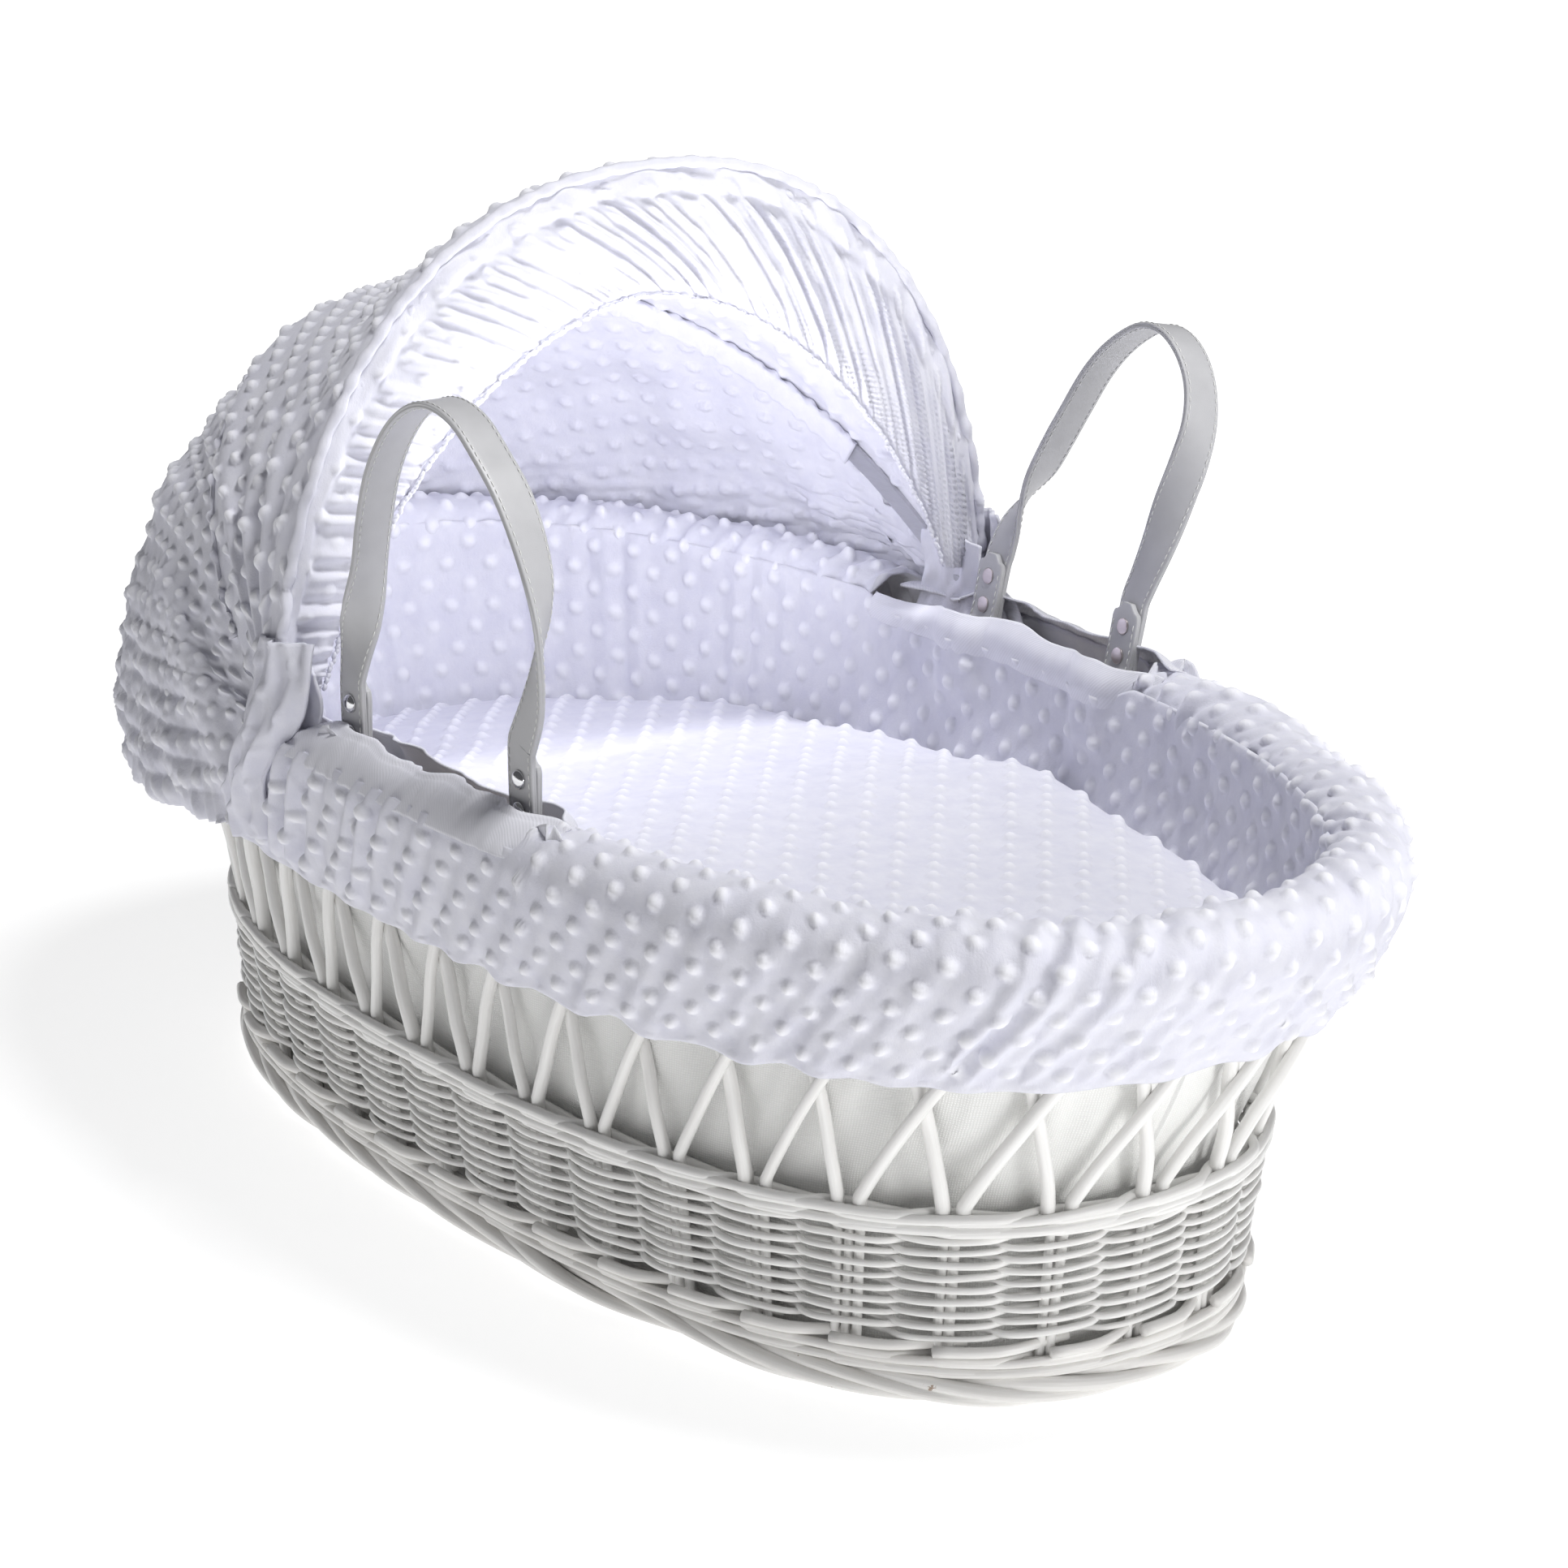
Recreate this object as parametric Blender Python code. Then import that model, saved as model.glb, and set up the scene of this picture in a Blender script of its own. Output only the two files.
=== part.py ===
"""Moses basket: white woven wicker, plush dressing, folding hood and two strap handles.

Metres. +X is the foot end, -X the head end under the hood, +Z is up. The near long side is -Y.
The origin is on the underside of the woven base, which stands on the floor at z = 0.
Plan shapes are superellipses, given as (half length, half width) at a height.
"""
import math

import bmesh
import bpy
import numpy as np
from mathutils import Matrix, Vector

AROUND = 48

# Driving sizes
RIM = (0.395, 0.187)
RIM_Z = 0.226
RIM_R = 0.009
RIM_POWER = 2.38
RIM_SHIFT = 0.008
BASE = (0.3425, 0.155)
BASE_POWER = 2.5
BASE_X = -0.010
BAND_TOP = (0.346, 0.1765)
BAND_TOP_Z = 0.101
WALL = 0.008
ROD = 0.0065
CELLS = 36
GAP = 0.0003

CUT_Z = 0.2055

PIVOT_X = -0.070
PIVOT_Z = 0.250
BOW_WIDTH = 0.010
BOW_THICK = 0.0024
REAR_LEAN = math.radians(53.0)

STRAP_WIDTH = 0.020
STRAP_THICK = 0.003
RIVET_HEIGHTS = (0.025, 0.040)

# The two straps were fixed by hand, so their feet, lean and arch differ a little.
# feet: x of the two feet; opening: x where the dressing is cut away; run: (along, up) of the strap.
SIDES = {
    "near": {
        "side": -1, "lean": 0.0, "feet": (-0.0295, 0.1150), "opening": (-0.100, 0.147),
        "run": [(-0.0715, 0.055), (-0.0680, 0.070), (-0.0625, 0.090), (-0.0575, 0.110),
                (-0.0515, 0.135), (-0.0425, 0.160), (-0.0270, 0.182), (-0.0090, 0.196),
                (0.0100, 0.2015), (0.0300, 0.198), (0.0480, 0.186), (0.0680, 0.168),
                (0.0840, 0.142), (0.0890, 0.120), (0.0870, 0.100), (0.0820, 0.077),
                (0.0745, 0.060), (0.0725, 0.055)],
    },
    "far": {
        "side": 1, "lean": math.radians(12.0), "feet": (-0.0335, 0.0785), "opening": (-0.100, 0.113),
        "run": [(-0.0545, 0.055), (-0.0500, 0.068), (-0.0420, 0.084), (-0.0330, 0.100),
                (-0.0240, 0.118), (-0.0160, 0.134), (-0.0030, 0.158), (0.0120, 0.175),
                (0.0310, 0.187), (0.0480, 0.188), (0.0640, 0.180), (0.0755, 0.166),
                (0.0800, 0.148), (0.0775, 0.128), (0.0720, 0.108), (0.0660, 0.085),
                (0.0600, 0.066), (0.0565, 0.055)],
    },
}

COLOURS = {
    "wicker": ((0.86, 0.85, 0.82), 0.40, 0.0),
    "cotton": ((0.87, 0.87, 0.85), 0.90, 0.0),
    "plush": ((0.88, 0.88, 0.92), 0.95, 0.0),
    "foam": ((0.90, 0.90, 0.88), 0.95, 0.0),
    "strap": ((0.88, 0.88, 0.87), 0.45, 0.0),
    "steel": ((0.62, 0.62, 0.64), 0.35, 1.0),
    "chrome": ((0.80, 0.80, 0.82), 0.12, 1.0),
    "elastic": ((0.90, 0.90, 0.90), 0.80, 0.0),
}


# ---------------------------------------------------------------- basics

def clear_scene():
    for thing in list(bpy.data.objects):
        bpy.data.objects.remove(thing, do_unlink=True)


def material(slot):
    found = bpy.data.materials.get(slot)
    if found:
        return found
    colour, rough, metal = COLOURS[slot]
    made = bpy.data.materials.new(slot)
    made.use_nodes = True
    shader = made.node_tree.nodes["Principled BSDF"]
    shader.inputs["Base Color"].default_value = (*colour, 1.0)
    shader.inputs["Roughness"].default_value = rough
    shader.inputs["Metallic"].default_value = metal
    made.diffuse_color = (*colour, 1.0)
    return made


def solid(name, verts, faces, slot, smooth=True, origin=None, matrix=None):
    """One closed mesh object; origin moves its pivot without moving its surface."""
    mesh = bpy.data.meshes.new(name)
    points = [Vector(v) for v in verts]
    if matrix is not None:
        points = [matrix @ p for p in points]
    shift = Vector(origin) if origin is not None else Vector((0.0, 0.0, 0.0))
    mesh.from_pydata([p - shift for p in points], [], faces)
    work = bmesh.new()
    work.from_mesh(mesh)
    bmesh.ops.recalc_face_normals(work, faces=work.faces)
    work.to_mesh(mesh)
    work.free()
    for polygon in mesh.polygons:
        polygon.use_smooth = smooth
    mesh.materials.append(material(slot))
    made = bpy.data.objects.new(name, mesh)
    made.location = shift
    bpy.context.collection.objects.link(made)
    return made


def cut(target, cutter):
    """Subtract cutter from target and remove the cutter."""
    step = target.modifiers.new("cut", "BOOLEAN")
    step.operation = "DIFFERENCE"
    step.solver = "EXACT"
    step.object = cutter
    cutter.hide_render = True
    cutter.display_type = "WIRE"
    graph = bpy.context.evaluated_depsgraph_get()
    mesh = bpy.data.meshes.new_from_object(target.evaluated_get(graph))
    target.modifiers.clear()
    target.data = mesh
    bpy.data.objects.remove(cutter, do_unlink=True)


def box_cutter(low, high, matrix=None):
    (x0, y0, z0), (x1, y1, z1) = low, high
    verts = [(x, y, z) for z in (z0, z1) for y in (y0, y1) for x in (x0, x1)]
    faces = [(0, 1, 3, 2), (4, 5, 7, 6), (0, 1, 5, 4), (2, 3, 7, 6), (0, 2, 6, 4), (1, 3, 7, 5)]
    return solid("cutter", verts, faces, "wicker", smooth=False, matrix=matrix)


# ---------------------------------------------------------------- plan shapes

def oval(half_length, half_width, power, count=AROUND, centre_x=0.0):
    """Superellipse points at equal steps of arc length, from +X round by +Y."""
    angle = np.linspace(0.0, 2.0 * math.pi, 4001)
    c, s = np.cos(angle), np.sin(angle)
    x = half_length * np.sign(c) * np.abs(c) ** (2.0 / power)
    y = half_width * np.sign(s) * np.abs(s) ** (2.0 / power)
    run = np.concatenate([[0.0], np.cumsum(np.hypot(np.diff(x), np.diff(y)))])
    at = np.linspace(0.0, run[-1], count, endpoint=False)
    return np.stack([centre_x + np.interp(at, run, x), np.interp(at, run, y)], axis=1)


def head_trim(z):
    """How far the plan's centre lies towards the foot end above the waling: the head end flares less."""
    share = (z - BAND_TOP_Z) / (0.205 - BAND_TOP_Z)
    return RIM_SHIFT * min(max(share, 0.0), 1.0)


def level(half_length, half_width, z, power=RIM_POWER, centre_x=0.0):
    """A ring at height z; half_length is the reach at the foot end."""
    trim = head_trim(z)
    ring = oval(half_length - trim, half_width, power, centre_x=centre_x + trim)
    return [(x, y, z) for x, y in ring]


def side_y(half_length, half_width, x):
    """Half width at x of a rim-level plan."""
    reach = abs(x - RIM_SHIFT) / (half_length - RIM_SHIFT)
    return half_width * (1.0 - reach ** RIM_POWER) ** (1.0 / RIM_POWER)


def between(low, high, share):
    return tuple(a + (b - a) * share for a, b in zip(low, high))


def ring_faces(rings, count, closed):
    faces = []
    pairs = rings if closed else rings - 1
    for i in range(pairs):
        j = (i + 1) % rings
        for k in range(count):
            m = (k + 1) % count
            faces.append((i * count + k, i * count + m, j * count + m, j * count + k))
    return faces


def ring_solid(name, levels, slot, **more):
    """A closed section, given as a loop of levels, carried round the basket."""
    verts = [p for ring in levels for p in ring]
    return solid(name, verts, ring_faces(len(levels), AROUND, True), slot, **more)


def stack_solid(name, levels, slot, **more):
    """Levels joined in order, with a fan closing the first and the last."""
    verts = [p for ring in levels for p in ring]
    faces = ring_faces(len(levels), AROUND, False)
    for start in (0, (len(levels) - 1) * AROUND):
        ring = verts[start:start + AROUND]
        centre = len(verts)
        verts.append(tuple(sum(p[i] for p in ring) / AROUND for i in range(3)))
        for k in range(AROUND):
            faces.append((start + k, start + (k + 1) % AROUND, centre))
    return solid(name, verts, faces, slot, **more)


def shell_section(path, thick):
    """Outer path of (half length, half width, z) and the same path one thickness inside it."""
    inner = []
    for i, (a, b, z) in enumerate(path):
        before = path[max(i - 1, 0)]
        after = path[min(i + 1, len(path) - 1)]
        run_r = after[1] - before[1]
        run_z = after[2] - before[2]
        size = math.hypot(run_r, run_z)
        step_r = -run_z / size * thick
        step_z = run_r / size * thick
        inner.append((a + step_r, b + step_r, z + step_z))
    return list(path) + inner[::-1]


def rim_point(x, side):
    """Centre of the rim border on one long side at x."""
    return Vector((x, side * side_y(RIM[0], RIM[1], x), RIM_Z))


def sweep(path, widths, thick, width_dirs):
    """Rectangular strip along a path; returns verts and faces of one closed body."""
    verts = []
    count = len(path)
    for i, point in enumerate(path):
        tangent = (path[min(i + 1, count - 1)] - path[max(i - 1, 0)]).normalized()
        across = width_dirs[i]
        across = (across - tangent * across.dot(tangent)).normalized()
        normal = across.cross(tangent).normalized()
        for a, b in ((-1, -1), (1, -1), (1, 1), (-1, 1)):
            verts.append(point + across * (a * widths[i] / 2) + normal * (b * thick / 2))
    faces = []
    for i in range(count - 1):
        for k in range(4):
            m = (k + 1) % 4
            faces.append((i * 4 + k, i * 4 + m, i * 4 + 4 + m, i * 4 + 4 + k))
    faces.append((0, 1, 2, 3))
    last = (count - 1) * 4
    faces.append((last, last + 1, last + 2, last + 3))
    return verts, faces


def tube(path, radius, sides=6):
    """Round cord along an open path; returns verts and faces of one closed body."""
    verts = []
    count = len(path)
    for i, point in enumerate(path):
        tangent = (path[min(i + 1, count - 1)] - path[max(i - 1, 0)]).normalized()
        across = tangent.orthogonal().normalized() if i == 0 else across
        across = (across - tangent * across.dot(tangent)).normalized()
        other = tangent.cross(across)
        for k in range(sides):
            turn = 2.0 * math.pi * k / sides
            verts.append(point + across * (radius * math.cos(turn)) + other * (radius * math.sin(turn)))
    faces = []
    for i in range(count - 1):
        for k in range(sides):
            m = (k + 1) % sides
            faces.append((i * sides + k, i * sides + m, (i + 1) * sides + m, (i + 1) * sides + k))
    faces.append(tuple(range(sides)))
    faces.append(tuple((count - 1) * sides + k for k in range(sides)))
    return verts, faces


def lathe(profile, sides=10):
    """Profile of (radius, along) turned about +Y; radius 0 at both ends."""
    verts = [(0.0, profile[0][1], 0.0)]
    for radius, along in profile[1:-1]:
        for k in range(sides):
            turn = 2.0 * math.pi * k / sides
            verts.append((radius * math.cos(turn), along, radius * math.sin(turn)))
    verts.append((0.0, profile[-1][1], 0.0))
    rings = len(profile) - 2
    faces = [(0, 1 + k, 1 + (k + 1) % sides) for k in range(sides)]
    for i in range(rings - 1):
        for k in range(sides):
            m = (k + 1) % sides
            a, b = 1 + i * sides, 1 + (i + 1) * sides
            faces.append((a + k, a + m, b + m, b + k))
    end = len(verts) - 1
    a = 1 + (rings - 1) * sides
    faces += [(a + k, a + (k + 1) % sides, end) for k in range(sides)]
    return verts, faces


# ---------------------------------------------------------------- wicker

def wall_outer(z):
    """Outer surface of the closed weave at height z."""
    return between(BASE, BAND_TOP, z / BAND_TOP_Z)


def wall_power(z):
    return BASE_POWER + (RIM_POWER - BASE_POWER) * min(z / BAND_TOP_Z, 1.0)


def wall_level(z, inset):
    a, b = wall_outer(z)
    share = max(0.0, 1.0 - z / BAND_TOP_Z)
    return level(a - inset, b - inset, z, wall_power(z), BASE_X * share)


def build_weave():
    border_top = 0.016
    bulge = 0.0045
    stack_solid("base_plate", [wall_level(0.0, 0.0105), wall_level(0.009, 0.0105)], "wicker", smooth=False)
    ring_solid("base_border", [
        wall_level(0.0, 0.010), wall_level(0.0, -0.002), wall_level(border_top * 0.3, -bulge),
        wall_level(border_top * 0.7, -bulge), wall_level(border_top, -0.001), wall_level(border_top, 0.009),
    ], "wicker", smooth=False)
    low = border_top + GAP
    waling_low = 0.0885
    top = waling_low - GAP
    ring_solid("woven_wall", [
        wall_level(low, WALL), wall_level(low, 0.0), wall_level(0.05, 0.0), wall_level(top, 0.0),
        wall_level(top, WALL), wall_level(0.05, WALL),
    ], "wicker", smooth=False)
    ring_solid("top_waling", [
        wall_level(waling_low, 0.009), wall_level(waling_low, 0.0), wall_level(0.092, -0.0025),
        wall_level(0.098, -0.0025), wall_level(BAND_TOP_Z, 0.0), wall_level(BAND_TOP_Z, 0.009),
    ], "wicker", smooth=False)


def build_lattice():
    """Leaning rods between the waling and the rim border, joined by a thin ring at each end."""
    low_z = BAND_TOP_Z + GAP
    high_z = 0.2057
    ring = 0.004
    low = (BAND_TOP[0] - WALL / 2, BAND_TOP[1] - WALL / 2)
    grid = 720

    def spot(turn, z, out):
        loop = plans[(z, out)]
        place = (turn % 1.0) * grid
        k = int(place) % grid
        share = place - int(place)
        p, q = loop[k], loop[(k + 1) % grid]
        return (p[0] + (q[0] - p[0]) * share, p[1] + (q[1] - p[1]) * share, z)

    heights = (low_z, low_z + ring, high_z - ring, high_z)
    plans = {}
    for z in heights:
        a, b = between(low, RIM, (z - low_z) / (high_z - low_z))
        for out in (-ROD / 2, ROD / 2):
            trim = head_trim(z)
            plans[(z, out)] = oval(a + out - trim, b + out, RIM_POWER, count=grid, centre_x=trim)
    step = 1.0 / CELLS
    perimeter = 1.80
    width = ROD / perimeter * 1.12
    verts, index = [], {}

    def vert(row, column, out):
        """row 0-3 is the height, column is (cell, -1, 0 or 1)."""
        cell, part = column
        key = (row, (cell % CELLS, part), out)
        if key not in index:
            shift = 0.0 if row < 2 else 0.5
            index[key] = len(verts)
            verts.append(spot((cell + shift) * step + part * width, heights[row], out))
        return index[key]

    faces = []
    outs = (-ROD / 2, ROD / 2)
    for cell in range(CELLS):
        for base in (0, 2):
            spans = [((cell, -1), (cell, 0)), ((cell, 0), (cell, 1)), ((cell, 1), (cell + 1, -1))]
            for left, right in spans:
                for out in outs:
                    faces.append((vert(base, left, out), vert(base, right, out),
                                  vert(base + 1, right, out), vert(base + 1, left, out)))
                outer_row = 0 if base == 0 else 3
                faces.append((vert(outer_row, left, outs[0]), vert(outer_row, right, outs[0]),
                              vert(outer_row, right, outs[1]), vert(outer_row, left, outs[1])))
            window_row = 1 if base == 0 else 2
            left, right = spans[2]
            faces.append((vert(window_row, left, outs[0]), vert(window_row, right, outs[0]),
                          vert(window_row, right, outs[1]), vert(window_row, left, outs[1])))
        rods = [((cell, 0), (cell, 1), (cell, -1), (cell, 0)),
                ((cell + 1, -1), (cell + 1, 0), (cell, 0), (cell, 1))]
        for low_left, low_right, high_left, high_right in rods:
            for out in outs:
                faces.append((vert(1, low_left, out), vert(1, low_right, out),
                              vert(2, high_right, out), vert(2, high_left, out)))
            for foot, head in ((low_left, high_left), (low_right, high_right)):
                faces.append((vert(1, foot, outs[0]), vert(1, foot, outs[1]),
                              vert(2, head, outs[1]), vert(2, head, outs[0])))
    solid("lattice", verts, faces, "wicker", smooth=False)


def build_rim():
    web = 0.004
    foot_z = 0.2062
    turn = math.asin(web / RIM_R)
    section = [(web, foot_z)]
    for k in range(9):
        angle = -math.pi / 2 + turn + (2.0 * math.pi - 2.0 * turn) * k / 8
        section.append((RIM_R * math.cos(angle), RIM_Z + RIM_R * math.sin(angle)))
    section.append((-web, foot_z))
    levels = [level(RIM[0] + out, RIM[1] + out, z) for out, z in section]
    rim = ring_solid("rim_border", levels, "wicker")
    for strap in SIDES.values():
        for x in strap["feet"]:
            reach = sorted((strap["side"] * 0.160, strap["side"] * 0.215))
            cut(rim, box_cutter((x - 0.0135, reach[0], 0.200), (x + 0.0135, reach[1], 0.2175)))


# ---------------------------------------------------------------- dressing

LINER_PATH = [(0.3310, 0.1452, 0.0095), (0.3342, 0.1647, 0.1010), (0.3600, 0.1735, 0.1500),
              (0.3855, 0.1795, 0.2030)]


def dressing_level(a, b, z):
    """A level that follows the weave's own centre and plan shape below the waling."""
    return level(a, b, z, wall_power(z), BASE_X * max(0.0, 1.0 - z / BAND_TOP_Z))


def build_liner():
    thick = 0.0012
    outer = [dressing_level(a, b, z) for a, b, z in LINER_PATH]
    inner = [dressing_level(a - thick, b - thick, max(z, 0.0107)) for a, b, z in LINER_PATH]
    stack_solid("cotton_liner", outer + inner[::-1], "cotton")


def lining_path():
    inset = 0.0030
    path = [(a - inset, b - inset, z) for a, b, z in LINER_PATH]
    path[0] = (path[0][0], path[0][1], 0.0112)
    return path[:-1] + [(0.3820, 0.1765, 0.2050), (0.3842, 0.1762, 0.2150), (0.3842, 0.1762, 0.2385)]


SKIRT_PATH = [(0.3900, 0.2050, 0.1740), (0.4080, 0.2110, 0.2050), (0.4190, 0.2140, 0.2220),
              (0.4220, 0.2147, 0.2380), (0.4160, 0.2090, 0.2490), (0.4040, 0.1975, 0.2535),
              (0.3945, 0.1880, 0.2535), (0.3860, 0.1795, 0.2480), (0.3842, 0.1762, 0.2389)]


def handle_opening(target):
    for strap in SIDES.values():
        reach = sorted((strap["side"] * 0.140, strap["side"] * 0.240))
        start, end = strap["opening"]
        cut(target, box_cutter((start, reach[0], CUT_Z), (end, reach[1], 0.300)))


def build_plush():
    thick = 0.0035
    lining = shell_section(lining_path(), thick)
    made = ring_solid("plush_lining", [dressing_level(a, b, z) for a, b, z in lining], "plush")
    handle_opening(made)
    skirt = shell_section(SKIRT_PATH, thick)
    made = ring_solid("plush_skirt", [level(a, b, z) for a, b, z in skirt], "plush")
    handle_opening(made)
    ring_solid("skirt_elastic", [
        level(0.3861, 0.2003, 0.1748), level(0.3872, 0.2010, 0.1785),
        level(0.3862, 0.2000, 0.1785), level(0.3851, 0.1993, 0.1748),
    ], "elastic")


def side_strip(name, strap, low, high, thick, z_low, z_high, slot):
    """A band along one opening: low and high are (half length, half width) at the two heights."""
    side = strap["side"]
    start, end = strap["opening"][0] + 0.0005, strap["opening"][1] - 0.0005
    verts = []
    steps = 14
    for i in range(steps + 1):
        x = start + (end - start) * i / steps
        for (a, b), z in ((low, z_low), (high, z_high)):
            y = side_y(a, b, x)
            verts.append((x, side * y, z))
            verts.append((x, side * (y - thick), z))
    faces = []
    order = (0, 2, 3, 1)
    for i in range(steps):
        for k in range(4):
            a, b = order[k], order[(k + 1) % 4]
            faces.append((i * 4 + a, i * 4 + b, i * 4 + 4 + b, i * 4 + 4 + a))
    faces.append(order)
    faces.append(tuple(steps * 4 + k for k in order))
    solid(name, verts, faces, slot)


def build_bindings():
    for label, strap in SIDES.items():
        side = strap["side"]
        side_strip("binding_outer_" + label, strap, (0.4080, 0.2105), (0.4190, 0.2135), 0.0015,
                   CUT_Z + GAP, 0.2215, "cotton")
        side_strip("binding_inner_" + label, strap, (0.3835, 0.1755), (0.3835, 0.1755), 0.0015,
                   CUT_Z + GAP, 0.2122, "cotton")
        for end_label, x in (("head", strap["feet"][0] + 0.020), ("foot", strap["feet"][1] + 0.019)):
            centre = rim_point(x, side)
            outs = ((0.0155, -0.0035), (0.0140, 0.0060), (0.0070, 0.0112), (-0.0030, 0.0112),
                    (-0.0095, 0.0060), (-0.0105, -0.0020), (-0.0112, -0.0128))
            path = [centre + Vector((0.0, side * out, up)) for out, up in outs]
            verts, faces = sweep(path, [0.008] * len(path), 0.001, [Vector((1, 0, 0))] * len(path))
            solid("tie_" + label + "_" + end_label, verts, faces, "cotton")


# ---------------------------------------------------------------- bedding

COVER_TOP = 0.199


def build_bedding():
    low, top = 0.0115, 0.0720
    soft = 0.010
    plan = (0.3215, 0.1360)
    stack_solid("mattress", [
        dressing_level(plan[0] - soft, plan[1] - soft, low), dressing_level(plan[0], plan[1], low + soft),
        dressing_level(plan[0], plan[1] + 0.006, top - soft),
        dressing_level(plan[0] - soft, plan[1] - soft, top),
    ], "foam")
    thick = 0.018
    bed = top + 0.0008
    outer = [(0.3180, 0.1480, bed), (0.3230, 0.1530, 0.110), (0.3420, 0.1610, 0.150),
             (0.3520, 0.1640, 0.182), (0.3430, 0.1560, 0.1920), (0.3000, 0.1220, 0.1970),
             (0.1600, 0.0600, COVER_TOP)]
    inner = [(0.3180 - thick, 0.1480 - thick, bed), (0.3480 - thick, 0.1620 - thick, 0.162),
             (0.2900, 0.1150, 0.1760), (0.1600, 0.0600, 0.1790)]

    def fall(points):
        """The cover lies lower towards the head end."""
        moved = []
        for x, y, z in points:
            share = min(max((0.05 - x) / 0.38, 0.0), 1.0)
            height = max(z - bed, 0.0) / (COVER_TOP - bed)
            moved.append((x, y, z - 0.040 * share * height))
        return moved

    rings = [fall(level(a, b, z, 2.45)) for a, b, z in inner[::-1]]
    rings += [fall(level(a, b, z, 2.45)) for a, b, z in outer]
    stack_solid("coverlet", rings, "plush")


# ---------------------------------------------------------------- hood

ARCH_POWER = 2.25
ARCH_Z = 0.231


def arch(half_width, top, count, foot_z, power=ARCH_POWER, base_z=ARCH_Z):
    """(y, z) points of an upright arch from the near foot to the far foot, both at foot_z."""
    height = top - base_z
    angle = np.linspace(0.0, math.pi, 4001)
    y = -half_width * np.sign(np.cos(angle)) * np.abs(np.cos(angle)) ** (2.0 / power)
    z = base_z + height * np.abs(np.sin(angle)) ** (2.0 / power)
    keep = z >= foot_z
    y, z = y[keep], z[keep]
    run = np.concatenate([[0.0], np.cumsum(np.hypot(np.diff(y), np.diff(z)))])
    at = np.linspace(0.0, run[-1], count)
    return list(zip(np.interp(at, run, y), np.interp(at, run, z)))


def lean_back(point, angle):
    """Turn a point about the hood's pivot axis, backwards for a positive angle."""
    dx, dz = point[0] - PIVOT_X, point[2] - PIVOT_Z
    return Vector((PIVOT_X + dx * math.cos(angle) - dz * math.sin(angle), point[1],
                   PIVOT_Z + dx * math.sin(angle) + dz * math.cos(angle)))


def build_bow(name, half_width, top, angle):
    path = [lean_back((PIVOT_X, y, z), angle) for y, z in arch(half_width, top, 33, 0.240)]
    across = lean_back((PIVOT_X + 1.0, 0.0, PIVOT_Z), angle) - Vector((PIVOT_X, 0.0, PIVOT_Z))
    verts, faces = sweep(path, [BOW_WIDTH] * len(path), BOW_THICK, [across] * len(path))
    pivot = (PIVOT_X, 0.0, PIVOT_Z)
    made = solid(name, verts, faces, "steel", smooth=False, origin=pivot)
    hole, hole_faces = lathe([(0, -0.3), (0.0029, -0.3), (0.0029, 0.3), (0, 0.3)])
    cut(made, solid("cutter", hole, hole_faces, "steel", matrix=Matrix.Translation(pivot)))


def build_pivots():
    for label, side in (("near", -1), ("far", 1)):
        verts, faces = lathe([(0, 0.1964), (0.0045, 0.1964), (0.0045, 0.1980), (0.0025, 0.1980),
                              (0.0025, 0.2073), (0.0048, 0.2073), (0.0040, 0.2083), (0, 0.2086)])
        turn = Matrix.Translation((PIVOT_X, 0.0, PIVOT_Z)) @ Matrix.Diagonal((1.0, side, 1.0, 1.0))
        solid("pivot_rivet_" + label, verts, faces, "chrome", matrix=turn)
        near, far = sorted((side * 0.1967, side * 0.1998))
        bracket = box_cutter((PIVOT_X - 0.0055, near, 0.2180), (PIVOT_X + 0.0055, far, 0.2575))
        bracket.name = "hood_bracket_" + label
        bracket.data.name = bracket.name
        bracket.data.materials.clear()
        bracket.data.materials.append(material("steel"))
        for radius, from_y, to_y in ((0.0027, 0.190, 0.210), (0.0048, 0.190, 0.1983)):
            hole, hole_faces = lathe([(0, from_y), (radius, from_y), (radius, to_y), (0, to_y)])
            cut(bracket, solid("cutter", hole, hole_faces, "steel", matrix=turn))


def loft(name, curves, thick, slot, origin=None):
    """Cloth between matching curves; each curve is a list of Vectors from foot to foot."""
    rows, columns = len(curves), len(curves[0])
    outer, inner = [], []
    for i in range(rows):
        for k in range(columns):
            along = curves[min(i + 1, rows - 1)][k] - curves[max(i - 1, 0)][k]
            across = curves[i][min(k + 1, columns - 1)] - curves[i][max(k - 1, 0)]
            normal = across.cross(along).normalized()
            outer.append(curves[i][k] + normal * (thick / 2))
            inner.append(curves[i][k] - normal * (thick / 2))
    verts = outer + inner
    size = rows * columns
    faces = []
    for i in range(rows - 1):
        for k in range(columns - 1):
            a, b = i * columns + k, (i + 1) * columns + k
            faces.append((a, a + 1, b + 1, b))
            faces.append((size + a, size + a + 1, size + b + 1, size + b))
    for i in range(rows - 1):
        for k in (0, columns - 1):
            a, b = i * columns + k, (i + 1) * columns + k
            faces.append((a, b, size + b, size + a))
    for i in (0, rows - 1):
        for k in range(columns - 1):
            a = i * columns + k
            faces.append((a, a + 1, size + a + 1, size + a))
    return solid(name, verts, faces, slot, origin=origin)


ACROSS = 25
REAR_HALF = 0.2022
REAR_TOP = 0.4970
FRONT_HALF = 0.2058
FRONT_TOP = 0.4905


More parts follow.
